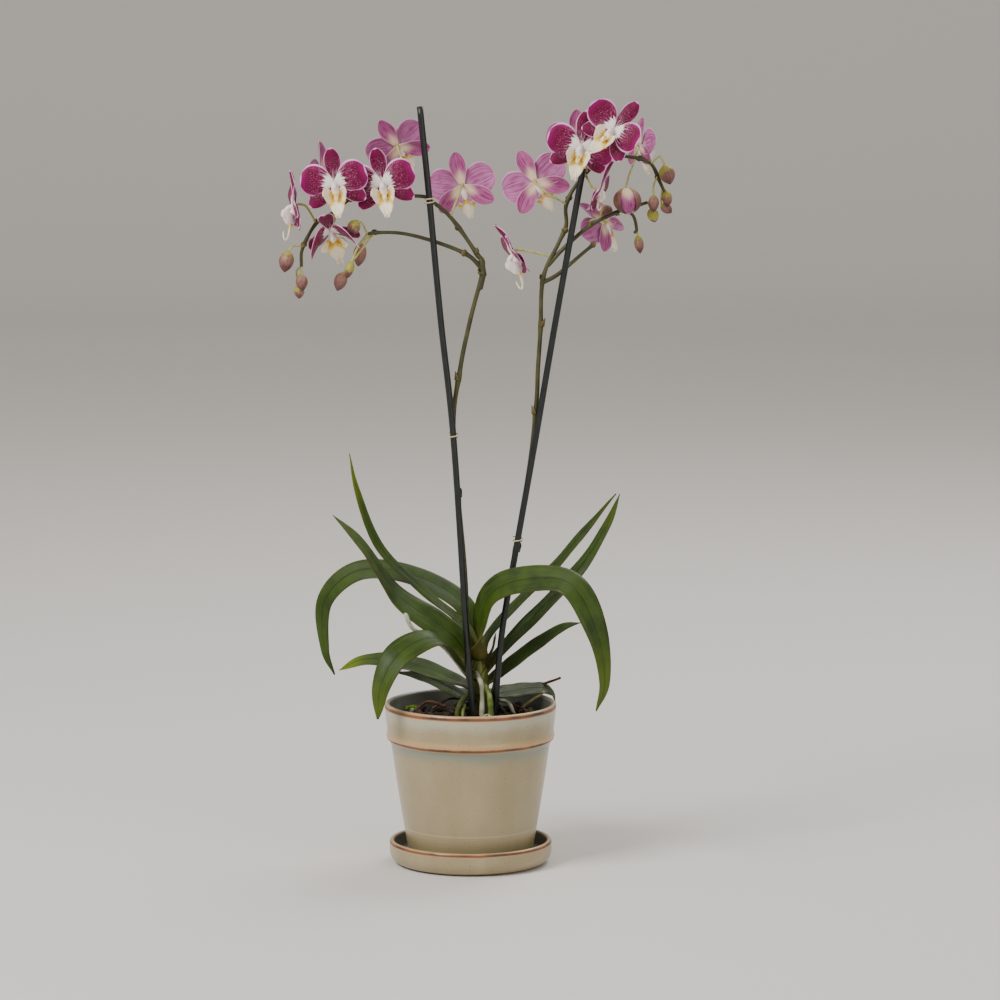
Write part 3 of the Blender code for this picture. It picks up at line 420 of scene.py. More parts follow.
chips = Tree("bark_chips", Length=0.012, Thickness=0.0032, Spacing=0.0052, Seed=11)
scatter = chips.node("GeometryNodeDistributePointsOnFaces", {"distribute_method": "POISSON"},
                     {"Mesh": chips.entry.outputs[0], "Distance Min": chips.size("Spacing"),
                      "Density Max": 26000.0, "Seed": chips.size("Seed")})
block_size = chips.node("ShaderNodeCombineXYZ",
                        sockets={0: chips.size("Length"), 1: 0.0074, 2: chips.size("Thickness")})
block = chips.node("GeometryNodeMeshCube",
                   sockets={"Size": block_size, "Vertices X": 5, "Vertices Y": 4, "Vertices Z": 3})
tilt = chips.node("FunctionNodeRandomValue", {"data_type": "FLOAT_VECTOR"},
                  {0: (-0.75, -0.75, 0.0), 1: (0.75, 0.75, 6.28), "Seed": 3})
scale = chips.node("FunctionNodeRandomValue", {"data_type": "FLOAT_VECTOR"},
                   {0: (0.55, 0.55, 0.6), 1: (1.15, 1.1, 1.5), "Seed": 5})
lift = chips.node("FunctionNodeRandomValue", {"data_type": "FLOAT_VECTOR"},
                  {0: (0.0, 0.0, -0.0030), 1: (0.0, 0.0, 0.0022), "Seed": 9})
heaped = chips.node("GeometryNodeSetPosition", sockets={"Geometry": scatter, "Offset": lift})
laid = chips.node("GeometryNodeInstanceOnPoints",
                  sockets={"Points": heaped, "Instance": block, "Rotation": tilt, "Scale": scale})
loose = chips.node("GeometryNodeRealizeInstances", sockets={0: laid})
ragged = chips.node("ShaderNodeTexNoise", sockets={"Scale": 260.0, "Detail": 2.0}, output="Color")
centred = chips.node("ShaderNodeVectorMath", {"operation": "SUBTRACT"}, {0: ragged, 1: (0.5, 0.5, 0.5)})
torn = chips.node("ShaderNodeVectorMath", {"operation": "SCALE"}, {0: centred, "Scale": 0.0048})
rough_chips = chips.node("GeometryNodeSetPosition", sockets={"Geometry": loose, "Offset": torn})
chip_bed = disc("chip_bed", medium_radius - 0.0068, (0, 0, medium_top - 0.0008))
chip_mesh = chips.grow("bark_chips", chip_bed, rough_chips, bark_finish)
chip_piece = added("bark_chips", chip_mesh)
chip_piece.data.set_sharp_from_angle(angle=pi / 5)
core_top = medium_top - 0.0034
core_gap = 0.0004
core = turned("bark_core", [(0, core_top), (medium_radius - core_gap, core_top),
                            (foot_radius - wall - core_gap, medium_foot), (0, medium_foot)], 64)
core.data.materials.append(bark_finish)
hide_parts("medium")


# ---- moss ----------------------------------------------------------------------------------------
# A cushion of live moss at the right, two small tufts at the front right and one at the back left, all
# just inside the wall: short bright shoots that stand out of low domes.
moss = Finish("live_moss", specular_ior_level=0.2)
place = moss.place()
moss_colour = moss.mix(moss.noise(place, 320, 2).rise(0.3, 0.7), tint(46, 72, 14), tint(128, 158, 40))
moss_finish = moss.finish(moss_colour, 0.7 + 0.2 * moss.noise(place, 200), moss.noise(place, 900), 0.0006)
low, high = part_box("moss")
moss_x, moss_y = (low.x + high.x) / 2, (low.y + high.y) / 2
moss_radius, moss_height = (high.x - low.x) / 2, high.z - low.z
tufts = Tree("moss_shoots", Shoot=0.0026, Spacing=0.00085, Seed=4)
dome_z, around, rings = low.z - 0.0006, 16, 5
points, faces = [], []
for x, y, radius in ((moss_x, moss_y, moss_radius * 0.86), (0.041, -0.0405, 0.0085), (0.050, -0.026, 0.006),
                     (-0.046, 0.030, 0.006)):
    start = len(points)
    points += [(x, y, dome_z + moss_height * 0.55), (x, y, low.z - 0.0030)]
    for ring in range(1, rings + 1):
        slope = pi / 2 * ring / rings
        reach, height = radius * sin(slope), moss_height * 0.55 * cos(slope)
        points += [(x + reach * cos(tau * k / around), y + reach * sin(tau * k / around), dome_z + height)
                   for k in range(around)]
    for k in range(around):
        a, b = start + 2 + k, start + 2 + (k + 1) % around
        faces.append((start, a, b))
        for step in range(0, around * (rings - 1), around):
            faces.append((a + step, a + step + around, b + step + around, b + step))
        faces.append((start + 1, b + around * (rings - 1), a + around * (rings - 1)))
bed = bpy.data.meshes.new("moss_bed")
bed.from_pydata(points, [], faces)
spots = tufts.node("GeometryNodeDistributePointsOnFaces", {"distribute_method": "POISSON"},
                   {"Mesh": tufts.entry.outputs[0], "Distance Min": tufts.size("Spacing"),
                    "Density Max": 1500000.0, "Seed": tufts.size("Seed")})
shoot = tufts.node("GeometryNodeMeshCone", {"fill_type": "TRIANGLE_FAN"},
                   {"Vertices": 4, "Radius Top": 0.00008, "Radius Bottom": 0.00042,
                    "Depth": tufts.size("Shoot")})
lean = tufts.node("FunctionNodeRandomValue", {"data_type": "FLOAT_VECTOR"},
                  {0: (-0.6, -0.6, 0.0), 1: (0.6, 0.6, 6.28), "Seed": 2})
length = tufts.node("FunctionNodeRandomValue", {"data_type": "FLOAT_VECTOR"},
                    {0: (0.8, 0.8, 0.5), 1: (1.3, 1.3, 1.2), "Seed": 8})
planted = tufts.node("GeometryNodeInstanceOnPoints",
                     sockets={"Points": spots, "Instance": shoot, "Rotation": lean, "Scale": length})
whole = tufts.node("GeometryNodeJoinGeometry", sockets={0: planted})
tufts.group.links.new(tufts.entry.outputs[0], tufts.group.nodes[-1].inputs[0])
moss_piece = added("moss_tufts", tufts.grow("moss_tufts", bed, whole, moss_finish))
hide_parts("moss")


# ---- crown ---------------------------------------------------------------------------------------
# The short stem that everything grows from: a stack of old and living leaf sheaths that clasp each
# other, green above and brown and papery at the medium.
def spline_point(p0, p1, p2, p3, t):
    """The place at a share t of the way from p1 to p2, on the smooth curve through all four."""
    along, bend = (p2 - p0) * t, (2 * p0 - 5 * p1 + 4 * p2 - p3) * t * t
    return p1 + 0.5 * (along + bend + (3 * p1 - p0 - 3 * p2 + p3) * t ** 3)


def smooth_path(points, count):
    """count points, evenly spaced, on the smooth curve through the given ones."""
    fine = 14  # short straight pieces between two given points
    ends = [2 * points[0] - points[1], *points, 2 * points[-1] - points[-2]]
    dense = [spline_point(*ends[i : i + 4], k / fine) for i in range(len(points) - 1) for k in range(fine)]
    dense.append(points[-1])
    lengths = [0.0]
    for a, b in zip(dense, dense[1:]):
        lengths.append(lengths[-1] + (b - a).length)
    path, i = [], 0
    for k in range(count):
        want = lengths[-1] * k / (count - 1)
        while i < len(dense) - 2 and lengths[i + 1] < want:
            i += 1
        path.append(dense[i].lerp(dense[i + 1], (want - lengths[i]) / max(lengths[i + 1] - lengths[i], 1e-9)))
    return path


def on_plant(x, y, z):
    """A place on the plant, measured from where the pot's axis meets the medium."""
    return Vector((x, y, medium_top + z))


def wrapped(centre, side, other, radius, turn, half, columns):
    """A row of places round a centre, from half an angle before turn to half an angle after it."""
    angles = [turn + half * (2 * k / (columns - 1) - 1) for k in range(columns)]
    return [centre + radius * (cos(angle) * side + sin(angle) * other) for angle in angles]


class Growth:
    """One piece of the plant while it is made: swept stems and thin blades, with their run for the
    finishes. Slots are the order in which its finishes are given."""

    def __init__(self):
        self.bm = bmesh.new()
        self.run = self.bm.loops.layers.uv.new("run")
        self.number = self.bm.verts.layers.float.new("own_number")

    def face(self, corners, runs, slot):
        """One face with its run at each corner, left out where its corners fall together."""
        if len(set(corners)) < 3:
            return
        face = self.bm.faces.new(corners)
        face.material_index, face.smooth = slot, True
        for loop, run in zip(face.loops, runs):
            loop[self.run].uv = run

    def stem(self, path, radii, slot=0, sides=12, number=0.0, shape=None, cap=0.8):
        """A round stem along a path, closed by rounded ends. shape(run, angle) swells or grooves it."""
        first, last = (path[0] - path[1]).normalized(), (path[-1] - path[-2]).normalized()
        path, radii = list(path), list(radii)
        for share in (0.55, 0.9):
            path.insert(0, path[0] + first * radii[0] * cap * 0.5)
            radii.insert(0, radii[0] * (1 - share * 0.55))
            path.append(path[-1] + last * radii[-1] * cap * 0.5)
            radii.append(radii[-1] * (1 - share * 0.55))
        side = (path[1] - path[0]).orthogonal().normalized()
        rings = []
        for i, centre in enumerate(path):
            ahead = (path[min(i + 1, len(path) - 1)] - path[max(i - 1, 0)]).normalized()
            side = (side - side.dot(ahead) * ahead).normalized()
            up = ahead.cross(side)
            ring = []
            for k in range(sides):
                angle = tau * k / sides
                r = radii[i] * (shape(i / (len(path) - 1), angle) if shape else 1)
                vert = self.bm.verts.new(centre + r * (cos(angle) * side + sin(angle) * up))
                vert[self.number] = number
                ring.append(vert)
            rings.append(ring)
        for i in range(len(rings) - 1):
            for k in range(sides):
                n = (k + 1) % sides
                u0, u1, v0, v1 = i / (len(rings) - 1), (i + 1) / (len(rings) - 1), k / sides, (k + 1) / sides
                self.face((rings[i][k], rings[i][n], rings[i + 1][n], rings[i + 1][k]),
                          ((u0, v0), (u0, v1), (u1, v1), (u1, v0)), slot)
        for ring, centre, u in ((rings[0][::-1], path[0] + first * radii[0] * 0.35, 0.0),
                                (rings[-1], path[-1] + last * radii[-1] * 0.35, 1.0)):
            tip = self.bm.verts.new(centre)
            tip[self.number] = number
            for k in range(sides):
                runs = ((u, k / sides), (u, k / sides), (u, 0.5))
                self.face((ring[k], ring[(k + 1) % sides], tip), runs, slot)

    def blade(self, grid, thickness, face_slot, back_slot, number=0.0, runs=None):
        """A thin blade over a grid of places, thinner at its edges, closed all round. Its face is the
        side that the grid turns anticlockwise. runs are how far along it each row is."""
        rows, columns = len(grid), len(grid[0])
        sheets = []
        for sign in (1, -1):
            sheet = []
            for i in range(rows):
                line = []
                for j in range(columns):
                    run = grid[min(i + 1, rows - 1)][j] - grid[max(i - 1, 0)][j]
                    across = grid[i][min(j + 1, columns - 1)] - grid[i][max(j - 1, 0)]
                    edge = min(j, columns - 1 - j) / (columns - 1) * 2
                    end = min(1.0, (rows - 1 - i) / (rows - 1) * 5 + 0.2)
                    half = thickness * 0.5 * (0.22 + 0.78 * min(1, edge * 2.2) ** 0.7) * end
                    vert = self.bm.verts.new(grid[i][j] + sign * half * run.cross(across).normalized())
                    vert[self.number] = number
                    line.append(vert)
                sheet.append(line)
            sheets.append(sheet)
        runs = runs or [i / (rows - 1) for i in range(rows)]
        run_at = lambda i, j: (runs[i], j / (columns - 1))
        for sheet, slot, flip in ((sheets[0], face_slot, False), (sheets[1], back_slot, True)):
            for i in range(rows - 1):
                for j in range(columns - 1):
                    cells = [(i, j), (i + 1, j), (i + 1, j + 1), (i, j + 1)]
                    cells = cells[::-1] if flip else cells
                    self.face([sheet[a][b] for a, b in cells], [run_at(a, b) for a, b in cells], slot)
        border = [(i, 0) for i in range(rows)] + [(rows - 1, j) for j in range(1, columns)]
        border += [(i, columns - 1) for i in range(rows - 2, -1, -1)]
        border += [(0, j) for j in range(columns - 2, 0, -1)]
        for (a, b), (c, d) in zip(border, border[1:] + border[:1]):
            self.face((sheets[0][a][b], sheets[1][a][b], sheets[1][c][d], sheets[0][c][d]),
                      [run_at(a, b)] * 2 + [run_at(c, d)] * 2, back_slot)

    def made(self, name, *finishes):
        """The finished piece, riding on the body."""
        mesh = bpy.data.meshes.new(name)
        self.bm.to_mesh(mesh)
        self.bm.free()
        return placed(name, mesh, *finishes)


def between(value, stops):
    """The value read off a line of (place, amount) stops."""
    for (a, low), (b, high) in zip(stops, stops[1:]):
        if value <= b:
            return low + (high - low) * max(0.0, (value - a) / (b - a))
    return stops[-1][1]


crown_x, crown_radius, crown_height = 0.007, 0.007, 0.050
sheath = Finish("leaf_sheath", specular_ior_level=0.4)
place = sheath.place()
x, y, z = sheath.axes(place)
cover = sheath.noise(sheath.vector(x * 220, y * 220, z * 30), 1.0, 3)
old = (z + cover * 0.014).rise(medium_top + 0.030, medium_top + 0.006)
sheath_colour = sheath.mix(cover.rise(0.3, 0.7), tint(74, 84, 30), tint(112, 116, 48))
sheath_colour = sheath.mix(old * cover.rise(0.25, 0.6), sheath_colour, tint(96, 66, 40))
sheath_finish = sheath.finish(sheath_colour, 0.45 + 0.3 * old, cover, 0.0008)
crown = Growth()
outline = ((-0.28, 0.80), (0.0, 1.0), (0.45, 0.95), (0.8, 0.70), (1.0, 0.25))
levels = [-0.26 + 1.24 * k / 20 for k in range(21)]
crown.stem([on_plant(crown_x, 0, crown_height * level) for level in levels],
           [crown_radius * between(level, outline) for level in levels], sides=28,
           shape=lambda run, angle: 1 + 0.05 * cos(2 * angle) + 0.03 * cos(9 * angle + 14 * run))
right_way, back_way = Vector((1, 0, 0)), Vector((0, 1, 0))
for number, (foot, turn, tall) in enumerate((
    (0.004, 0.2, 0.016), (0.008, 2.9, 0.018), (0.014, 0.9, 0.018), (0.018, 3.9, 0.020),
    (0.003, 4.8, 0.013), (0.022, 5.6, 0.018), (0.028, 2.3, 0.018),
)):
    grid = []
    for rise in [step / 8 for step in range(9)]:
        height = foot + tall * rise
        radius = crown_radius * between(height / crown_height, outline) + 0.0006 + 0.0016 * rise ** 2
        half = 1.15 * (1 - rise ** 2.2) + 0.08
        grid.append(wrapped(on_plant(crown_x, 0, height), right_way, back_way, radius, turn, half, 11))
    crown.blade([row[::-1] for row in grid], 0.0009, 0, 0, number)
crown_piece = crown.made("crown_sheaths", sheath_finish)
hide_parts("crown")


# ---- leaves --------------------------------------------------------------------------------------
# Thick strap leaves in two rows, each folded along its midrib and arching under its own weight. The
# upper side is a satin deep green with fine veins, the back is darker and duller.
def leaf_green(name, light, dark, rough, back):
    """A leaf's skin, as satin on its upper side and duller on its back, where the midrib stands out."""
    skin = Finish(name, specular_ior_level=0.25, coat_weight=0.0 if back else 0.06, coat_roughness=0.30)
    run, across, number = skin.along()
    place = skin.place()
    blotch = skin.noise(place, 34, 3) * 0.6 + skin.noise(place, 110, 2) * 0.4
    fibre = skin.noise(skin.vector(run * 5, across * 60, number * 7), 1.0, 2)
    colour = skin.mix(blotch.rise(0.32, 0.68), dark, light)
    colour = skin.mix(fibre.rise(0.4, 0.75) * 0.25, colour, tint(96, 126, 30))
    colour = skin.mix(run.rise(0.70, 1.0) * 0.8 * number, colour, tint(126, 148, 24))
    midrib = (across - 0.5).maths("ABSOLUTE").rise(0.045, 0.004)
    colour = skin.mix(midrib * 0.2, colour, tint(84, 108, 34) if back else tint(30, 50, 8))
    edge = (across - 0.5).maths("ABSOLUTE").rise(0.470, 0.495)
    colour = skin.mix(edge * 0.6, colour, tint(92, 58, 34))
    colour = skin.mix(run.rise(0.16, 0.02) * 0.65, colour, tint(104, 92, 44))
    veins = ((across * 110).maths("SINE") * 0.5 + 0.5) * 0.5 + fibre * 0.5
    height = veins * 0.5 - midrib * (1.0 if not back else -1.0) + blotch * 0.6
    return skin.finish(colour, rough + 0.14 * blotch, height, 0.00045)


leaf_face = leaf_green("leaf_upper_side", tint(54, 74, 8), tint(29, 45, 4), 0.40, False)
leaf_back = leaf_green("leaf_under_side", tint(42, 60, 9), tint(22, 36, 4), 0.50, True)


def leaf(name, base_z, places, widths, faces, brightness, thickness=0.0019):
    """A strap leaf from the crown through its places. widths are at its base and across its blade, and
    faces the ways that its upper side looks from the base to the tip."""
    points = [on_plant(*place) for place in places]
    away = Vector((points[0].x - crown_x, points[0].y, 0)).normalized()
    reach = crown_radius * between(base_z / crown_height, outline) - 0.0004
    points.insert(0, on_plant(crown_x, 0, base_z) + away * reach)
    rows, columns = 70, 13
    path = smooth_path(points, rows)
    clasp = (on_plant(crown_x, 0, base_z + crown_radius) - points[0]).normalized()
    faces = [clasp, *[Vector(face) for face in faces]]
    stations = [0, *[0.15 + 0.85 * k / (len(faces) - 2) for k in range(len(faces) - 1)]]
    chance = Random(name)
    waves = [(chance.uniform(4, 9), chance.uniform(0, tau), chance.uniform(0.0002, 0.0005)) for _ in range(2)]
    grid = []
    for i in range(rows):
        t = i / (rows - 1)
        ahead = (path[min(i + 1, rows - 1)] - path[max(i - 1, 0)]).normalized()
        k = max(j for j in range(len(stations) - 1) if stations[j] <= t)
        face = faces[k].lerp(faces[k + 1], (t - stations[k]) / (stations[k + 1] - stations[k]))
        side = ahead.cross(face).normalized()
        front = side.cross(ahead)
        swell = widths[0] + (widths[1] - widths[0]) * min(t / 0.30, 1)
        half = max(swell * (1 - max((t - 0.45) / 0.55, 0) ** 2.2) ** 0.8, 0.0011) / 2
        fold = 0.22 + 0.55 * exp(-t * 7)
        line = []
        for j in range(columns):
            s = j / (columns - 1) * 2 - 1
            ripple = sum(size * sin(rate * t * pi + phase + s) for rate, phase, size in waves) * abs(s) ** 2
            rise = half * (fold * (s * s + 0.10) ** 0.5 - fold * 0.316 - 0.10 * s * s) + ripple
            line.append(path[i] + s * half * side + rise * front)
        grid.append(line)
    growth = Growth()
    growth.blade([line[::-1] for line in grid], thickness, 0, 1, brightness)
    piece = growth.made(name + "_blade", leaf_face, leaf_back)
    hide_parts(name)


for name, base_z, places, widths, faces, brightness in (
    ("leaf_left_tall", 0.046,
     [(0.000, 0.010, 0.064), (-0.011, 0.014, 0.077), (-0.039, 0.017, 0.100), (-0.072, 0.016, 0.134),
      (-0.089, 0.012, 0.178), (-0.095, 0.008, 0.209)],
     (0.009, 0.009), [(0.3, -0.6, 0.8), (0.5, -0.8, 0.3)], 1.0),
    ("leaf_left_upper", 0.036,
     [(-0.009, 0.002, 0.060), (-0.028, 0.002, 0.075), (-0.059, 0.002, 0.098), (-0.084, -0.001, 0.136),
      (-0.108, -0.004, 0.162)],
     (0.017, 0.023), [(-0.2, -0.75, 0.65), (0.1, -0.75, 0.65), (0.92, -0.35, 0.35), (0.92, -0.3, 0.35),
                      (0.9, -0.4, 0.35)], 0.3),
    ("leaf_left_back", 0.030,
     [(0.003, 0.015, 0.050), (-0.005, 0.023, 0.085), (-0.043, 0.038, 0.106), (-0.088, 0.050, 0.110),
      (-0.116, 0.056, 0.085), (-0.117, 0.057, 0.046), (-0.109, 0.054, 0.025)],
     (0.013, 0.020), [(0.3, -0.7, 0.7), (0.0, -0.6, 0.8), (-0.35, -0.8, 0.5), (-0.6, -0.8, 0.1)], 0.0),
    ("leaf_left_front", 0.029,
     [(-0.009, -0.004, 0.043), (-0.028, -0.025, 0.067), (-0.055, -0.044, 0.058), (-0.069, -0.052, 0.034),
      (-0.072, -0.053, 0.008)],
     (0.017, 0.027), [(-0.1, -0.35, 0.9), (-0.3, -0.65, 0.65), (-0.5, -0.85, 0.2)], 0.35),
    ("leaf_left_low", 0.021,
     [(-0.010, 0.007, 0.027), (-0.043, 0.022, 0.038), (-0.082, 0.038, 0.040), (-0.105, 0.046, 0.030)],
     (0.012, 0.016), [(0, -0.5, 0.85), (-0.2, -0.75, 0.7)], 1.0),
    ("leaf_left_lowest", 0.012,
     [(-0.009, 0.009, 0.017), (-0.036, 0.022, 0.028), (-0.060, 0.033, 0.031)],
     (0.010, 0.010), [(0, -0.6, 0.8), (0, -0.6, 0.8)], 0.0),
    ("leaf_right_front", 0.046,
     [(0.007, -0.010, 0.061), (0.014, -0.021, 0.099), (0.039, -0.038, 0.115), (0.077, -0.062, 0.116),
      (0.098, -0.074, 0.081), (0.104, -0.076, 0.042), (0.098, -0.073, 0.018)],
     (0.014, 0.024), [(-0.8, -0.6, 0.15), (-0.35, -0.7, 0.6), (0.1, -0.75, 0.6), (0.5, -0.8, 0.3),
                      (0.7, -0.8, 0.2)], 0.4),
    ("leaf_right_tall", 0.044,
     [(0.013, 0.009, 0.061), (0.033, 0.020, 0.084), (0.066, 0.033, 0.115), (0.094, 0.042, 0.147),
      (0.1155, 0.046, 0.172)],
     (0.009, 0.011), [(-0.5, -0.5, 0.7), (-0.5, -0.6, 0.6)], 0.3),
    ("leaf_right_back", 0.034,
     [(0.021, 0.010, 0.047), (0.047, 0.020, 0.074), (0.085, 0.027, 0.113), (0.107, 0.029, 0.147),
      (0.118, 0.030, 0.174)],
     (0.012, 0.014), [(-0.5, -0.6, 0.6), (-0.6, -0.7, 0.3)], 0.2),
    ("leaf_right_low", 0.025,
     [(0.022, 0.009, 0.033), (0.045, 0.014, 0.051), (0.072, 0.016, 0.069), (0.087, 0.017, 0.073)],
     (0.010, 0.013), [(-0.2, -0.6, 0.8), (-0.3, -0.7, 0.7)], 0.0),
    ("leaf_inner", 0.044, [(0.017, -0.001, 0.054), (0.020, -0.001, 0.068)], (0.005, 0.005),
     [(-1, 0, 0.3), (-1, 0, 0.3)], 0.8),
    ("leaf_right_rim", 0.016,
     [(0.024, 0.015, 0.0160), (rim_radius * 0.60, 0.026, 0.0175), (rim_radius * 0.84, 0.033, 0.0172),
      (rim_radius - 0.003, 0.038, 0.0135), (rim_radius - 0.0005, 0.039, 0.0055)],
     (0.012, 0.020), [(0, -0.35, 0.95), (0.2, -0.3, 0.95), (0.7, -0.3, 0.6)], 0.0),
):
    leaf(name, base_z, places, widths, faces, brightness)


# ---- roots ---------------------------------------------------------------------------------------
# Fleshy roots from the crown into the bark, silvery where dry and green where wet, one in the air and
# some dried brown ones among the chips and over the rim.
def root_skin(name, light, dark, rough):
    """A root's skin, patchy between its light and dark colours, with small brown scars."""
    skin = Finish(name, specular_ior_level=0.3)
    place = skin.place()
    patch, speck = skin.noise(place, 130, 3), skin.noise(place, 800, 2)
    colour = skin.mix(patch.rise(0.35, 0.68), dark, light)
    colour = skin.mix(speck.rise(0.6, 0.72) * 0.5, colour, tint(96, 78, 52))
    return skin.finish(colour, rough + 0.15 * patch, patch + speck * 0.4, 0.0005)


root_finishes = {
    "root_silver": root_skin("root_silvery", tint(196, 194, 170), tint(138, 140, 112), 0.6),
    "root_green": root_skin("root_fresh_green", tint(142, 152, 80), tint(88, 104, 46), 0.45),
    "root_dry": root_skin("root_dried", tint(96, 66, 42), tint(52, 34, 22), 0.75),
    "root_tan": root_skin("root_tan", tint(178, 166, 122), tint(126, 112, 76), 0.65),
}
deep, root_radius, over = -0.006, 0.0021, rim_radius
for name, kind, places, thickness in (
    ("root_front", "root_silver", [(0.004, -0.002, 0.037), (0.006, -0.008, 0.034), (0.009, -0.012, 0.026),
                                   (0.009, -0.016, 0.008), (0.008, -0.018, deep)], 0.9),
    ("root_front_right", "root_green", [(0.009, -0.002, 0.028), (0.012, -0.009, 0.025),
                                        (0.015, -0.014, 0.020), (0.016, -0.015, 0.008),
                                        (0.016, -0.015, deep)], 1.05),
    ("root_right", "root_silver", [(0.011, 0.003, 0.012), (0.022, 0.006, 0.013), (0.030, 0.008, 0.010),
                                   (0.038, 0.007, deep)], 0.7),
    ("root_left", "root_green", [(0.003, -0.002, 0.021), (-0.003, -0.004, 0.018), (-0.009, -0.007, 0.010),
                                 (-0.012, -0.009, deep)], 1.0),
    ("root_aerial", "root_silver", [(0.001, 0.005, 0.028), (-0.006, 0.007, 0.036), (-0.013, 0.007, 0.046),
                                    (-0.024, 0.002, 0.058), (-0.036, -0.003, 0.066), (-0.046, -0.008, 0.073),
                                    (-0.051, -0.010, 0.084)], 0.8),
    ("root_on_rim", "root_tan", [(0.0585, 0.026, 0.016), (0.043, 0.021, 0.006), (0.035, 0.018, deep)], 0.6),
    ("root_dry", "root_dry", [(over - 0.020, 0.040, 0.018), (over - 0.008, 0.038, 0.021),
                              (over + 0.0035, 0.041, 0.0245)], 0.5),
    ("", "root_silver", [(-0.046, -0.026, -0.002), (-0.0475, -0.028, 0.006), (-0.0455, -0.030, 0.012)], 0.62),
    ("", "root_dry", [(-0.046, 0.018, 0.001), (-0.034, 0.020, 0.009), (-0.020, 0.016, 0.006)], 0.55),
    ("", "root_dry", [(-0.030, 0.030, 0.002), (-0.018, 0.026, 0.010), (-0.004, 0.018, 0.012)], 0.5),
    ("", "root_green", [(-0.004, -0.012, 0.012), (-0.006, -0.019, 0.007), (-0.005, -0.024, -0.003)], 0.55),
    ("", "root_dry", [(0.020, 0.004, 0.014), (0.038, 0.014, 0.006), (0.050, 0.004, 0.001)], 0.5),
    ("", "root_silver", [(0.010, -0.020, 0.004), (0.014, -0.023, 0.006), (0.018, -0.024, 0.001)], 0.42),
):
    growth, count = Growth(), 40
    chance = Random(str(places))
    knobs = [(chance.uniform(9, 26), chance.uniform(0, tau)) for _ in range(3)]
    path = smooth_path([on_plant(*spot) for spot in places], count)
    swells = [0.05 * sum(sin(rate * k / count + phase) for rate, phase in knobs) for k in range(count)]
    radii = [root_radius * thickness * (1 + swell) for swell in swells]
    growth.stem(path, radii, sides=14, shape=lambda run, angle: 1 + 0.04 * sin(3 * angle + 20 * run))
    spot = f"{places[0][0] * 1000:.0f}_{places[0][1] * 1000:.0f}".replace("-", "m")
    piece = growth.made(name + "_skin" if name else "small_root_" + spot, root_finishes[kind])
    if name:
        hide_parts(name)


# ---- stakes --------------------------------------------------------------------------------------
# Two thin canes with a very dark green coating, pushed into the bark and leaning apart with the
# spikes. Each is cut square at the top.
cane = Finish("cane_coating", specular_ior_level=0.5)
run, across, number = cane.along()
streak = cane.noise(cane.vector(run * 60, across * 7, number), 1.0, 3)
cane_colour = cane.mix(streak.rise(0.35, 0.75), tint(8, 13, 11), tint(20, 28, 22))
cane_finish = cane.finish(cane_colour, 0.30 + 0.2 * streak, streak, 0.0002)
stake_radius, stake_foot, stake_rows = 0.0025, floor_top + 0.020, 80
stakes = {}
for name, places in (
    ("stake_left", [(0.002, -0.016, 0.005), (-0.003, -0.014, 0.068), (-0.013, -0.009, 0.222),
                    (-0.023, -0.006, 0.316), (-0.032, -0.003, 0.413), (-0.039, -0.001, 0.482)]),
    ("stake_right", [(0.019, -0.007, 0.005), (0.025, -0.006, 0.070), (0.037, -0.004, 0.141),
                     (0.051, -0.003, 0.221), (0.067, -0.002, 0.316), (0.088, 0.000, 0.434)]),
):
    points = [on_plant(*spot) for spot in places]
    slope = (points[0] - points[1]) / (points[0].z - points[1].z)
    points.insert(0, points[0] + slope * (stake_foot - points[0].z))
    stakes[name] = smooth_path(points, stake_rows)
    growth = Growth()
    growth.stem(stakes[name], [stake_radius] * stake_rows, sides=20, number=len(stakes), cap=0.08)
    piece = growth.made(name + "_cane", cane_finish)
    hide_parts(name)


# ---- flower spikes -------------------------------------------------------------------------------
# Two arching stems with side branches, olive with a brown bloom, swollen at each node where a bract
# hugs the stem. They run behind their stakes up to the ties. plump makes them stouter than the solids.
spike_radius, tip_radius, touch, plump = 0.0020, 0.0011, 0.0009, 1.17


def beside(stake, z, offset, room=0.0):
    """A spike's place behind a stake at a height above the medium. offset is how far it stands to the
    right, and room a gap on top of the usual one."""
    low, high = next(pair for pair in zip(stake, stake[1:]) if pair[1].z >= medium_top + z)
    spot = low.lerp(high, (medium_top + z - low.z) / (high.z - low.z))
    reach = stake_radius + spike_radius + touch + room
    return spot + Vector((offset, (reach**2 - offset**2) ** 0.5, 0))


def from_crown(x, y, z, clearance):
    """A place beside the crown, on the side where x and y lie, that far off its skin."""
    away = Vector((x - crown_x, y, 0)).normalized()
    return on_plant(crown_x, 0, z) + away * (crown_radius * between(z / crown_height, outline) + clearance)


stem_skin = Finish("spike_skin", specular_ior_level=0.45)
run, across, number = stem_skin.along()
place = stem_skin.place()
bloom = stem_skin.noise(place, 60, 3)
fibre = stem_skin.noise(stem_skin.vector(run * 30, across * 9, number), 1.0, 2)
stem_colour = stem_skin.mix(bloom.rise(0.35, 0.65), tint(50, 50, 18), tint(74, 72, 30))
stem_colour = stem_skin.mix(fibre.rise(0.45, 0.8) * 0.65, stem_colour, tint(44, 30, 17))
stem_finish = stem_skin.finish(stem_colour, 0.42 + 0.2 * bloom, fibre + bloom * 0.5, 0.0003)
bract = Finish("bract_paper", specular_ior_level=0.3)
run, across, _ = bract.along()
bract_colour = bract.mix(run.rise(0.2, 0.9), tint(92, 84, 40), tint(140, 112, 78))
bract_finish = bract.finish(bract_colour, 0.6 + 0.1 * run, (across * 40).maths("SINE"), 0.0002)

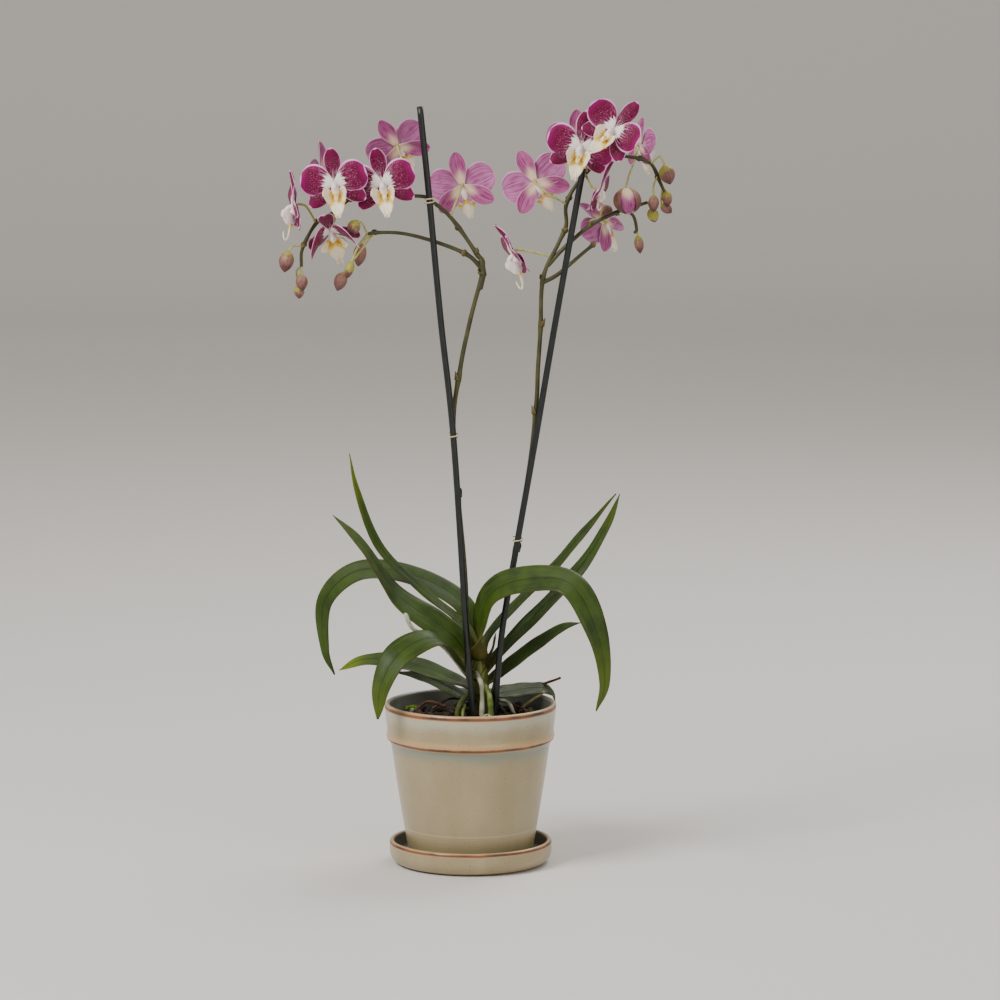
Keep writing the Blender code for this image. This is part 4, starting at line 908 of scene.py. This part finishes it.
# Each stem is its places, its radius at both ends and the shares of its length where its nodes are.
left, right = stakes["stake_left"], stakes["stake_right"]
thin, mid = tip_radius, (spike_radius + tip_radius) / 2
spike_plans = {
    "spike_left": (
        ([from_crown(0.0035, -0.006, 0.013, 0.000), from_crown(0.0035, -0.006, 0.018, 0.0035),
          from_crown(0.0035, -0.006, 0.025, 0.0045), beside(left, 0.036, -0.001), beside(left, 0.068, 0.0),
          beside(left, 0.120, 0.0016), beside(left, 0.225, 0.0), (-0.008, 0.000, 0.276),
          (0.000, 0.002, 0.315), (0.010, 0.004, 0.356), (0.005, 0.005, 0.367),
          (-0.015, 0.006, 0.395), beside(left, 0.409, 0.0, 0.001), (-0.040, 0.004, 0.412),
          (-0.078, 0.006, 0.412), (-0.093, 0.006, 0.410), (-0.107, 0.005, 0.399),
          (-0.120, 0.005, 0.391), (-0.131, 0.005, 0.371), (-0.132, 0.005, 0.357)],
         spike_radius, thin, (0.30, 0.47, 0.655, 0.70, 0.80, 0.87, 0.93, 0.965)),
        ([(0.010, 0.004, 0.354), (-0.002, 0.004, 0.366), (-0.026, 0.003, 0.376),
          (-0.052, 0.001, 0.383), (-0.073, -0.002, 0.384), (-0.080, -0.003, 0.383)],
         mid, thin, (0.2, 0.93)),
        ([(0.0075, 0.004, 0.340), (0.0100, 0.004, 0.352), (0.0085, 0.0045, 0.362)],
         spike_radius * 1.1, spike_radius * 0.95, (0.5,)),
    ),
    "spike_right": (
        ([from_crown(0.016, -0.001, 0.013, 0.000), from_crown(0.016, -0.001, 0.018, 0.004),
          from_crown(0.016, -0.001, 0.025, 0.006), beside(right, 0.040, 0.0), beside(right, 0.075, 0.0),
          beside(right, 0.142, 0.0), beside(right, 0.205, -0.001), (0.052, 0.002, 0.252),
          (0.053, 0.002, 0.276), (0.055, 0.003, 0.307), (0.057, 0.003, 0.348),
          (0.069, 0.005, 0.375), (0.075, 0.006, 0.389), (0.075, 0.006, 0.405),
          (0.084, 0.0068, 0.422), (0.105, 0.006, 0.443), (0.121, 0.006, 0.443),
          (0.140, 0.006, 0.438), (0.148, 0.006, 0.423), (0.153, 0.006, 0.412)],
         spike_radius, thin, (0.24, 0.45, 0.585, 0.655, 0.735, 0.785, 0.87, 0.925, 0.965)),
        ([(0.061, 0.004, 0.358), (0.073, 0.0055, 0.371), (0.094, 0.005, 0.389),
          (0.116, 0.005, 0.400), (0.129, 0.004, 0.404), (0.138, 0.004, 0.407)],
         mid, thin, (0.48, 0.72, 0.9)),
        ([(0.058, 0.003, 0.345), (0.069, 0.0055, 0.351), (0.087, 0.009, 0.366),
          (0.097, 0.011, 0.374)], mid, thin, (0.95,)),
        ([(0.118, 0.005, 0.401), (0.127, 0.005, 0.397), (0.130, 0.005, 0.386),
          (0.1285, 0.005, 0.3835)], thin, thin, ()),
    ),
}
spike_paths = {}
for name, plans in spike_plans.items():
    growth = Growth()
    spike_paths[name] = []
    for number, (points, start, end, nodes) in enumerate(plans):
        count = max(18, len(points) * 12)
        path = smooth_path([on_plant(*spot) if isinstance(spot, tuple) else spot for spot in points], count)
        spike_paths[name].append(path)
        radii = [plump * (start + (end - start) * k / (count - 1))
                 * (1 + 0.30 * sum(exp(-((k / (count - 1) - node) * count / 2.2) ** 2) for node in nodes))
                 for k in range(count)]
        growth.stem(path, radii, sides=14, number=number)
        for order, node in enumerate(nodes):
            i = min(round(node * (count - 1)), count - 3)
            ahead = (path[i + 1] - path[i - 1]).normalized()
            side = ahead.orthogonal().normalized()
            other = ahead.cross(side)
            turn = (order * 2.6 + number) % tau
            size = 0.0072 if start == spike_radius and node < 0.6 else 0.0038
            grid = []
            for rise in [step / 7 for step in range(8)]:
                half = 1.5 * (1 - rise ** 1.8) + 0.1
                radius = radii[i] * 1.15 + 0.0002 + 0.0007 * rise
                centre = path[i] + ahead * size * (rise - 0.1)
                grid.append(wrapped(centre, side, other, radius, turn, half, 9))
            growth.blade([row[::-1] for row in grid], 0.0005, 1, 1, order)
    piece = growth.made(name + "_stems", stem_finish, bract_finish)
    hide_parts(name)


# ---- ties ----------------------------------------------------------------------------------------
# Soft coated wire, wound about a turn and a half round each stake and its spike, and two turns and a bit
# round the left stake alone where its spike swings past.
coating = Finish("tie_coating", specular_ior_level=0.4)
place = coating.place()
scuff = coating.noise(place, 500, 2)
tie_finish = coating.finish(coating.mix(scuff, tint(176, 156, 112), tint(214, 198, 156)), 0.45 + 0.2 * scuff)
tie_radius, per_turn = 0.0005, 28
reach = stake_radius + tie_radius + touch * 0.8
for name, stake, z, turns, round_spike in (
    ("tie_left_low", left, 0.225, 1.4, True), ("tie_left_high", left, 0.409, 2.3, False),
    ("tie_right", right, 0.142, 1.4, True),
):
    behind = beside(stake, z, 0)
    middle = behind - Vector((0, stake_radius + spike_radius + touch, 0))
    behind = behind if round_spike else middle
    count = round(turns * per_turn) + 1
    path = []
    for k in range(count):
        angle = tau * k / per_turn + pi * 0.1
        centre = behind if sin(angle) > 0 else middle
        lift = Vector((0, 0, 6 * tie_radius * (k / per_turn - turns / 2)))
        path.append(centre + reach * Vector((cos(angle), sin(angle), 0)) + lift)
    growth = Growth()
    growth.stem(path, [tie_radius] * count, sides=10)
    piece = growth.made(name + "_wire", tie_finish)
    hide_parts(name)


# ---- flowers -------------------------------------------------------------------------------------
# Moth orchid flowers, each grown as one: three narrow sepals behind two broad petals, a white column,
# and below it the lip with two standing lobes, a yellow crest and a pointed white tongue that ends in
# two whiskers. A pale green pedicel carries each flower to its node on the stem.
def tepal_face(name, jag_end, ray_end, dark, violet):
    """The upper side: magenta that pales to a thin rosy margin, with a torn white patch at its base."""
    skin = Finish(name, specular_ior_level=0.18)
    run, across, number = skin.along()
    off = ((across - 0.5) * 2).maths("ABSOLUTE")
    fan = skin.noise(skin.vector(run * 2.2, across * 26, number * 9.1), 1.0, 2)
    thread = skin.noise(skin.vector(run * 3.0, across * 54, number * 5.3), 1.0, 1)
    dots = skin.noise(skin.vector(run * 30, across * 52, number * 7.7), 1.0, 1)
    cloud = skin.noise(skin.vector(run * 5, across * 6, number * 3.1), 1.0, 2)
    outer = off.rise(0.62, 0.93).most(run.rise(0.74, 0.95))
    colour = skin.mix(outer * 0.85 + (cloud - 0.5) * 0.4, dark, violet)
    colour = skin.mix(dots.rise(0.60, 0.70) * run.rise(0.25, 0.5) * run.rise(0.90, 0.55) * 0.65, colour,
                      tint(222, 150, 202))
    rays = thread.rise(0.58, 0.66) * run.rise(ray_end + 0.14, ray_end - 0.08)
    colour = skin.mix(rays * 0.9, colour, tint(238, 208, 224))
    patch = (run + (fan - 0.5) * 0.34 + off * off * 0.14).rise(jag_end + 0.035, jag_end - 0.02)
    colour = skin.mix(patch, colour, tint(243, 232, 226))
    rim = off.rise(0.86, 0.94).most(run.rise(0.950, 0.975))
    colour = skin.mix(rim * 0.9, colour, tint(236, 190, 220))
    ribs = fan * 0.7 + (across * 90).maths("SINE") * 0.10
    return skin.finish(colour, 0.42 + 0.15 * cloud, ribs, 0.00035)


def tepal_back(name, light, dark, base_colour, base_end):
    """The under side: mauve with darker veins that run the whole length, and a pale margin."""
    skin = Finish(name, specular_ior_level=0.3)
    run, across, number = skin.along()
    off = ((across - 0.5) * 2).maths("ABSOLUTE")
    vein = skin.noise(skin.vector(run * 1.4, across * 22, number * 6.1), 1.0, 2)
    cloud = skin.noise(skin.vector(run * 4, across * 4, number * 2.3), 1.0, 2)
    colour = skin.mix((vein * 0.7 + cloud * 0.3).rise(0.36, 0.62), dark, light)
    base_part = (run + off * 0.22 + (vein - 0.5) * 0.3).rise(base_end, base_end - 0.35)
    colour = skin.mix(base_part * 0.85, colour, base_colour)
    rim = off.rise(0.88, 0.99).most(run.rise(0.95, 0.998))
    colour = skin.mix(rim * 0.55, colour, tint(226, 182, 210))
    return skin.finish(colour, 0.5 + 0.12 * cloud, vein, 0.0003)


petal_face = tepal_face("petal_upper", 0.30, 0.38, tint(104, 0, 52), tint(144, 0, 98))
petal_back = tepal_back("petal_under", tint(186, 114, 160), tint(150, 66, 120), tint(220, 176, 188), 0.40)
sepal_face = tepal_face("sepal_upper", 0.13, 0.34, tint(96, 0, 46), tint(128, 0, 78))
sepal_back = tepal_back("sepal_under", tint(174, 94, 140), tint(130, 42, 96), tint(232, 206, 172), 0.60)

lobe_skin = Finish("lip_lobes", specular_ior_level=0.4)
run, across, number = lobe_skin.along()
line = lobe_skin.noise(lobe_skin.vector(run * 3, across * 20, number), 1.0, 1)
colour = lobe_skin.mix(line.rise(0.3, 0.7), tint(246, 228, 200), tint(252, 243, 224))
colour = lobe_skin.mix(run.rise(0.40, 0.10), colour, tint(232, 190, 56))
colour = lobe_skin.mix(line.rise(0.58, 0.64) * run.rise(0.34, 0.14) * 0.4, colour, tint(186, 108, 36))
lobe_finish = lobe_skin.finish(colour, 0.45 + 0.1 * line, line, 0.0002)

tongue = Finish("lip_tongue", specular_ior_level=0.4)
run, across, number = tongue.along()
off = ((across - 0.5) * 2).maths("ABSOLUTE")
line = tongue.noise(tongue.vector(run * 3, across * 16, number), 1.0, 1)
gold = (run - off * 0.22).rise(0.44, 0.24) * number.rise(3.0, 2.0)
colour = tongue.mix(gold, tint(246, 232, 204), tint(234, 198, 34))
colour = tongue.mix(line.rise(0.54, 0.62) * gold * 0.5, colour, tint(196, 124, 36))
tongue_finish = tongue.finish(colour, 0.42 + 0.12 * line, line, 0.0002)

pillar = Finish("column_wax", specular_ior_level=0.45)
run, across, number = pillar.along()
blush = pillar.noise(pillar.vector(run * 3, across * 6, number), 1.0, 2)
colour = pillar.mix(run.rise(0.5, 0.05) * blush.rise(0.3, 0.6), tint(244, 232, 228), tint(196, 110, 160))
pillar_finish = pillar.finish(colour, 0.4 + 0.1 * blush, blush, 0.0002)

stalk = Finish("pedicel_skin", specular_ior_level=0.4)
run, across, number = stalk.along()
fleck = stalk.noise(stalk.vector(run * 12, across * 4, number), 1.0, 2)
colour = stalk.mix(fleck.rise(0.3, 0.7), tint(186, 182, 112), tint(150, 152, 74))
colour = stalk.mix(run.rise(0.75, 1.0) * 0.5, colour, tint(120, 104, 56))
stalk_finish = stalk.finish(colour, 0.45 + 0.1 * fleck, fleck, 0.0002)

flower_reach, pedicel_radius = 0.0275, 0.0009
petal_outline = ((0.0, 0.16), (0.12, 0.44), (0.30, 0.82), (0.50, 1.0), (0.68, 1.0), (0.82, 0.86),
                 (0.93, 0.58), (0.985, 0.28), (1.0, 0.04))
sepal_outline = ((0.0, 0.30), (0.15, 0.50), (0.35, 0.82), (0.58, 1.0), (0.76, 0.88), (0.90, 0.56),
                 (0.975, 0.25), (1.0, 0.05))
lobe_outline = ((0.0, 0.50), (0.3, 0.86), (0.6, 1.0), (0.82, 0.82), (0.95, 0.45), (1.0, 0.05))


def tepal(growth, put, turn, length, halves, outline, lift, cup, roll, slots, number, chance):
    """One petal or sepal of a flower that looks along +Z and reaches 1. turn is the way it points, halves
    its widths on either side of its midrib, lift how far forward it starts, cup how far its tip comes
    forward and roll how far its edges go back. put carries it to its flower."""
    rows = smooth_path([Vector((0.03 + (length - 0.03) * t, w, 0)) for t, w in outline], 22)
    ahead, side = Vector((cos(turn), sin(turn), 0)), Vector((-sin(turn), cos(turn), 0))
    phase, wave, columns = chance.uniform(0, tau), chance.uniform(0.014, 0.030), 13
    grid = []
    for row in rows:
        t, line = row.x / length, []
        for j in range(columns):
            s = j / (columns - 1) * 2 - 1
            half = row.y * halves[s > 0]
            height = lift + cup * t * t - roll * s * s * row.y * halves[0] + 0.02 * (1 - abs(s)) * t
            height += wave * sin(2.2 * pi * t + phase + 1.4 * s) * abs(s) ** 1.5 * min(1, 2 * t)
            spot = ahead * row.x * (1 - 0.25 * cup * cup) + side * s * half + Vector((0, 0, height))
            line.append(put(spot))
        grid.append(line)
    growth.blade(grid, 0.0008, *slots, number, [row.x / length for row in rows])


def nearest_on(paths, place):
    """Where a stalk that comes near a place joins the nearest of the stems."""
    return min((spot for path in paths for spot in path), key=lambda spot: (spot - place).length)


def flower(name, centre, facing, dorsal, size, route, paths, cups=(0.02, 0.02), sepal_cup=0.0,
           raised=(0.22, 0.22), dorsal_length=1.0, roll=0.16, lip_size=1.0):
    """A flower and its pedicel. facing is the way it looks, dorsal the way its top sepal points and
    route the places that its pedicel passes on the way to its node. cups are how far the left and right
    petals come forward, raised how high they are held and roll how far their edges go back. sepal_cup is
    how far the sepals come forward, dorsal_length how long the top one is and lip_size how large the lip,
    its crest and the column are."""
    chance, reach = Random(name), flower_reach * size
    number = chance.random()
    forward = Vector(facing).normalized()
    across = Vector(dorsal).cross(forward).normalized()
    upward = forward.cross(across)
    middle = on_plant(*centre)
    put = lambda v: middle + reach * (v.x * across + v.y * upward + v.z * forward)
    growth = Growth()
    wobble = lambda: chance.uniform(-0.04, 0.04)
    for turn, length, halves, lift, edge_roll, order in (
        (pi * 0.5, dorsal_length, (0.25, 0.25), -0.035, 0.30, 0.0),
        (pi * 1.21, 1.0, (0.27, 0.26), -0.045, 0.25, 0.3),
        (pi * 1.79, 1.0, (0.26, 0.27), -0.050, 0.25, 0.6),
    ):
        tepal(growth, put, turn + wobble(), length, halves, sepal_outline, lift, sepal_cup + 0.04, edge_roll,
              (2, 3), number + order, chance)
    for turn, cup, halves, order in ((pi - raised[0], cups[0], (0.47, 0.44), 0.0),
                                     (raised[1], cups[1], (0.44, 0.47), 0.5)):
        tepal(growth, put, turn + wobble() * 0.5, 0.98, halves, petal_outline, 0.030 + 0.008 * order, cup,
              roll, (0, 1), number + order, chance)
    flat, put = put, lambda v: flat(v * lip_size)
    for hand in (-1, 1):
        rows = smooth_path([Vector((t, w, 0)) for t, w in lobe_outline], 10)
        start, run_way = Vector((0.06 * hand, -0.36, 0.05)), Vector((0.27 * hand, 0.06, 0.30))
        grid = []
        for row in rows:
            line = []
            for j in range(9):
                s = j / 4 - 1
                bulge = 0.10 * (1 - s * s) * sin(pi * min(row.x + 0.1, 1))
                spot = start + run_way * row.x + Vector((0.02 * hand * s, 0.235 * s * row.y, 0.03 * s))
                line.append(put(spot + Vector((0.75 * hand, 0, -0.66)) * bulge))
            grid.append(line)
        growth.blade(grid, 0.0009, *((4, 6) if hand > 0 else (6, 4)), number, [row.x for row in rows])
        whisker = [(0.012, -0.90, 0.290), (0.03, -0.955, 0.325), (0.06, -0.940, 0.370), (0.07, -0.86, 0.388),
                   (0.055, -0.76, 0.385), (0.03, -0.70, 0.37)]
        growth.stem(smooth_path([put(Vector((hand * x, y, z))) for x, y, z in whisker], 14),
                    [reach * (0.025 - 0.0011 * k) for k in range(14)], 5, 8, 5.0)
    spine = [(-0.36, 0.08, 0.05), (-0.45, 0.09, 0.10), (-0.50, 0.10, 0.22), (-0.535, 0.115, 0.275),
             (-0.60, 0.14, 0.215), (-0.70, 0.18, 0.190), (-0.80, 0.225, 0.145), (-0.88, 0.27, 0.095),
             (-0.94, 0.30, 0.035)]
    path = smooth_path([Vector((half, y, z)) for y, z, half in spine], 20)
    grid = []
    for spot in path:
        line = []
        for j in range(9):
            s = j / 4 - 1
            line.append(put(Vector((-spot.x * s, spot.y, spot.z + 0.30 * abs(s) ** 1.5 * spot.x - 0.02))))
        grid.append(line)
    growth.blade(grid, 0.0011, 5, 5, number)
    crest = ((-0.30, 0.10), (-0.37, 0.17), (-0.44, 0.19), (-0.50, 0.16))
    column = ((0.0, -0.02), (-0.02, 0.08), (-0.06, 0.17), (-0.12, 0.235))
    throat = ((-0.04, 0.0), (-0.16, 0.02), (-0.28, 0.045), (-0.38, 0.06))
    for line, radii, slot, sides, shade in (
        (crest, (0.03, 0.05, 0.06, 0.065, 0.06, 0.055, 0.045, 0.03), 5, 10, number),
        (column, (0.085, 0.072, 0.062, 0.058, 0.060, 0.066, 0.074, 0.078, 0.074, 0.056), 6, 14, number),
        (throat, (0.07, 0.10, 0.12, 0.13, 0.125, 0.11, 0.09, 0.06), 6, 12, number + 0.4),
    ):
        path = smooth_path([put(Vector((0, y, z))) for y, z in line], len(radii))
        growth.stem(path, [reach * radius for radius in radii], slot, sides, shade)
    node = nearest_on(paths, on_plant(*route[-1]))
    stops = [middle + 0.04 * reach * forward, middle - 0.22 * reach * forward,
             *[on_plant(*spot) for spot in route[:-1]], node]
    path = smooth_path(stops, 30)
    thick = [pedicel_radius * (1 + 0.45 * exp(-k / 5) + 0.5 * exp(-(29 - k) / 1.6)) for k in range(30)]
    growth.stem(path, thick, 7, 10, number)
    piece = growth.made(name + "_bloom", petal_face, petal_back, sepal_face, sepal_back, lobe_finish,
                        tongue_finish, pillar_finish, stalk_finish)
    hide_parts(name)


left_paths, right_paths = spike_paths["spike_left"], spike_paths["spike_right"]
for name, centre, facing, dorsal, size, route, paths, more in (
    ("flower_left_end", (-0.1374, 0.002, 0.405), (-1, -0.12, -0.1), (-0.1, 0, 1), 1.0,
     [(-0.127, 0.003, 0.403), (-0.120, 0.005, 0.392)], left_paths, {}),
    ("flower_left_front", (-0.105, -0.018, 0.424), (-0.1, -1, -0.05), (-0.16, 0, 1), 1.0,
     [(-0.104, -0.004, 0.420), (-0.098, 0.006, 0.408)], left_paths, {}),
    ("flower_left_second", (-0.068, -0.014, 0.424), (-0.1, -1, -0.05), (-0.2, 0, 1), 1.0,
     [(-0.068, -0.002, 0.421), (-0.066, 0.005, 0.413)], left_paths, {}),
    ("flower_left_top", (-0.057, 0.024, 0.450), (-0.1, 0.9, 0.3), (-0.5, 0, 0.85), 0.95,
     [(-0.050, 0.010, 0.430), (-0.048, 0.005, 0.413)], left_paths, {}),
    ("flower_left_inner", (-0.006, 0.018, 0.419), (0.1, 1, 0), (-0.2, 0, 1), 1.0,
     [(-0.010, 0.008, 0.410), (-0.015, 0.006, 0.396)], left_paths, {}),
    ("flower_left_nodding", (-0.109, 0.000, 0.385), (0.18, -0.62, -0.76), (-0.25, 0, 0.95), 0.95,
     [(-0.106, 0.014, 0.392), (-0.107, 0.005, 0.399)], left_paths,
     {"cups": (0.95, 0.9), "sepal_cup": 0.05, "roll": 0.2, "lip_size": 1.2}),
    ("flower_left_behind", (-0.1165, 0.026, 0.428), (-0.93, 0.4, 0), (-0.4, 0, 0.9), 0.95,
     [(-0.098, 0.014, 0.420), (-0.091, 0.006, 0.411)], left_paths, {}),
    ("flower_right_inner", (0.051, 0.008, 0.423), (0.1, 1, 0), (-0.49, 0, 0.87), 1.0,
     [(0.060, -0.001, 0.415), (0.073, 0.006, 0.406)], right_paths, {}),
    ("flower_right_low", (0.034, 0.002, 0.367), (-0.84, -0.14, -0.54), (-0.54, 0, 0.84), 1.0,
     [(0.067, 0.004, 0.364)], right_paths, {}),
    ("flower_right_front", (0.086, -0.018, 0.453), (-0.1, -1, -0.05), (0.2, 0, 1), 1.0,
     [(0.089, -0.006, 0.445), (0.092, 0.006, 0.431)], right_paths, {"raised": (0.10, -0.08)}),
    ("flower_right_top", (0.111, -0.032, 0.4665), (-0.3, -0.92, 0.15), (0.67, 0, 0.75), 0.95,
     [(0.109, -0.012, 0.460), (0.108, 0.006, 0.444)], right_paths,
     {"cups": (0.28, 0.28), "dorsal_length": 1.08}),
    ("flower_right_behind", (0.083, 0.028, 0.454), (0, 1, 0.1), (0, 0, 1), 0.9,
     [(0.088, 0.015, 0.446), (0.098, 0.006, 0.438)], right_paths, {}),
    ("flower_right_back", (0.134, 0.026, 0.450), (0.9, 0.45, -0.1), (-0.2, 0, 1), 0.82,
     [(0.130, 0.012, 0.446), (0.128, 0.006, 0.442)], right_paths, {}),
    ("flower_right_edge", (0.101, -0.016, 0.418), (0.90, -0.16, -0.39), (0.39, 0, 0.92), 0.92,
     [(0.094, -0.006, 0.421), (0.090, 0.0066, 0.429)], right_paths, {"lip_size": 0.6, "raised": (0.1, 0.1)}),
    ("flower_right_drooping", (0.104, 0.030, 0.388), (-0.60, 0.62, -0.50), (-0.74, 0, 0.67), 0.88,
     [(0.095, 0.018, 0.392), (0.093, 0.005, 0.388)], right_paths, {"cups": (0.15, 0.15), "sepal_cup": 0.1}),
):
    flower(name, centre, facing, dorsal, size, route, paths, **more)


# ---- buds ----------------------------------------------------------------------------------------
# Closed buds at the spikes' ends, plump and pointed, with the seams of their three sepals showing, tan
# and maroon with a yellow-green top. One on the right has begun to open.
bud_skin = Finish("bud_skin", specular_ior_level=0.4)
run, across, number = bud_skin.along()
streak = bud_skin.noise(bud_skin.vector(run * 2, across * 24, number * 4), 1.0, 2)
cloud = bud_skin.noise(bud_skin.vector(run * 5, across * 7, number * 8), 1.0, 2)
colour = bud_skin.mix((run + (cloud - 0.5) * 0.5).rise(0.25, 0.95), tint(150, 108, 94), tint(78, 36, 40))
colour = bud_skin.mix(streak.rise(0.45, 0.70) * 0.6, colour, tint(86, 40, 40))
green_part = (run + (cloud - 0.5) * 0.7).rise(0.18 + 0.6 * number, 0.6 * number)
colour = bud_skin.mix(green_part * 0.9, colour, bud_skin.mix(streak, tint(126, 126, 34), tint(184, 180, 66)))
bud_finish = bud_skin.finish(colour, 0.45 + 0.1 * cloud, streak, 0.0003)

bud_outline = ((0.0, 0.30), (0.10, 0.66), (0.24, 0.90), (0.40, 1.0), (0.58, 0.96), (0.76, 0.74),
               (0.90, 0.40), (0.97, 0.18), (1.0, 0.06))


def bud(name, neck, tip, radius, route, paths, greenness):
    """A closed bud from its neck to its tip, and its pedicel through its route to the nearest stem."""
    neck, tip = on_plant(*neck), on_plant(*tip)
    node = nearest_on(paths, on_plant(*route[-1]))
    growth = Growth()
    stops = [neck.lerp(tip, 0.15), neck, *[on_plant(*spot) for spot in route[:-1]], node]
    path = smooth_path(stops, 24)
    thick = [pedicel_radius * (0.85 + 0.3 * exp(-k / 3) + 0.5 * exp(-(23 - k) / 1.6)) for k in range(24)]
    growth.stem(path, thick, 0, 10, greenness)
    rows = smooth_path([Vector(((tip - neck).length * t, radius * w, 0)) for t, w in bud_outline], 20)
    line = [neck + (tip - neck).normalized() * row.x for row in rows]
    seams = lambda run, angle: 1 - 0.09 * exp(-14 * sin(1.5 * angle + 0.4) ** 2) + 0.012 * cos(15 * angle)
    growth.stem(line, [row.y for row in rows], 1, 30, greenness, shape=seams, cap=0.5)
    piece = growth.made(name + "_body" if name else "small_bud", stalk_finish, bud_finish)
    if name:
        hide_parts(name)


for name, neck, tip, radius, route, paths, greenness in (
    ("bud_left_outer", (-0.142, 0.001, 0.369), (-0.145, -0.002, 0.353), 0.0059,
     [(-0.138, 0.003, 0.373), (-0.130, 0.005, 0.372)], left_paths, 0.35),
    ("bud_left_hanging", (-0.132, 0.003, 0.351), (-0.131, 0.001, 0.338), 0.0048, [(-0.132, 0.005, 0.357)],
     left_paths, 0.1),
    ("bud_left_tip", (-0.134, 0.010, 0.342), (-0.134, 0.011, 0.331), 0.0042,
     [(-0.136, 0.009, 0.352), (-0.132, 0.005, 0.358)], left_paths, 0.6),
    ("bud_branch_top", (-0.088, -0.012, 0.394), (-0.093, -0.014, 0.383), 0.0052,
     [(-0.084, -0.010, 0.392), (-0.080, -0.003, 0.383)], left_paths, 0.6),
    ("bud_branch_dark", (-0.085, 0.013, 0.374), (-0.088, 0.015, 0.356), 0.0052,
     [(-0.078, 0.009, 0.381), (-0.073, -0.002, 0.384)], left_paths, 0.0),
    ("bud_branch_green", (-0.092, -0.010, 0.362), (-0.096, -0.012, 0.349), 0.0036,
     [(-0.087, -0.008, 0.374), (-0.080, -0.003, 0.383)], left_paths, 0.75),
    ("bud_branch_low", (-0.099, 0.003, 0.352), (-0.104, 0.003, 0.338), 0.0052,
     [(-0.085, 0.003, 0.370), (-0.075, -0.002, 0.384)], left_paths, 0.05),
    ("bud_right_outer", (0.1515, 0.002, 0.436), (0.156, 0.000, 0.4215), 0.0063,
     [(0.148, 0.004, 0.443), (0.141, 0.006, 0.438)], right_paths, 0.55),
    ("bud_right_hanging", (0.143, -0.003, 0.413), (0.143, -0.005, 0.400), 0.0042,
     [(0.143, 0.000, 0.420), (0.145, 0.006, 0.428)], right_paths, 0.1),
    ("bud_right_tip", (0.153, 0.006, 0.416), (0.1545, 0.006, 0.4035), 0.0041, [(0.150, 0.006, 0.418)],
     right_paths, 0.45),
    ("", (0.1495, 0.009, 0.405), (0.1575, 0.010, 0.3985), 0.0040,
     [(0.149, 0.007, 0.410), (0.150, 0.006, 0.418)], right_paths, 0.15),
    ("bud_right_end", (0.1415, 0.007, 0.402), (0.1445, 0.010, 0.391), 0.0045, [(0.138, 0.004, 0.407)],
     right_paths, 0.9),
    ("bud_right_low", (0.131, 0.005, 0.381), (0.133, 0.005, 0.367), 0.0037, [(0.130, 0.005, 0.386)],
     right_paths, 0.35),
    ("bud_behind_branch", (0.105, 0.013, 0.404), (0.109, 0.015, 0.395), 0.0048,
     [(0.103, 0.011, 0.400), (0.101, 0.005, 0.393)], right_paths, 0.0),
):
    bud(name, neck, tip, radius, route, paths, greenness)

# The opening bud: three sepals that part, and three petals folded inside them.
growth = Growth()
neck, tip, radius = on_plant(0.121, -0.010, 0.419), on_plant(0.123, -0.012, 0.399), 0.0105
route = [(0.124, -0.001, 0.429), (0.128, 0.006, 0.441)]
stops = [neck.lerp(tip, 0.1), neck, on_plant(*route[0]), nearest_on(right_paths, on_plant(*route[1]))]
growth.stem(smooth_path(stops, 24), [pedicel_radius * (0.85 + 0.4 * exp(-k / 3)) for k in range(24)], 0, 10)
axis = (tip - neck).normalized()
side = (right_way - right_way.dot(axis) * axis).normalized()
other = axis.cross(side)
height = (tip - neck).length
for turn, spread, wide, inset, slots in (
    (0.15, 0.40, 0.80, 0.94, (2, 1)), (2.85, 0.12, 0.80, 0.95, (2, 1)), (4.55, 0.05, 0.52, 0.97, (2, 1)),
    (1.40, 0.12, 0.95, 0.86, (4, 3)), (3.60, 0.04, 0.90, 0.90, (4, 3)), (5.45, 0.04, 0.90, 0.88, (4, 3)),
):
    rows = smooth_path([Vector((height * t, radius * w, 0)) for t, w in bud_outline], 18)
    grid = []
    for row in rows:
        t = row.x / height
        out = row.y * inset + spread * radius * t * t
        half = wide * (1 - 0.30 * t ** 3)
        grid.append(wrapped(neck + axis * row.x * (1 - 0.12 * spread), side, other, out, turn, half, 13))
    growth.blade(grid, 0.0008, *slots, 0.04, [row.x / height for row in rows])
opening = growth.made("bud_opening_body", stalk_finish, bud_finish, sepal_face, sepal_back, petal_face)
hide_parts("bud_opening")
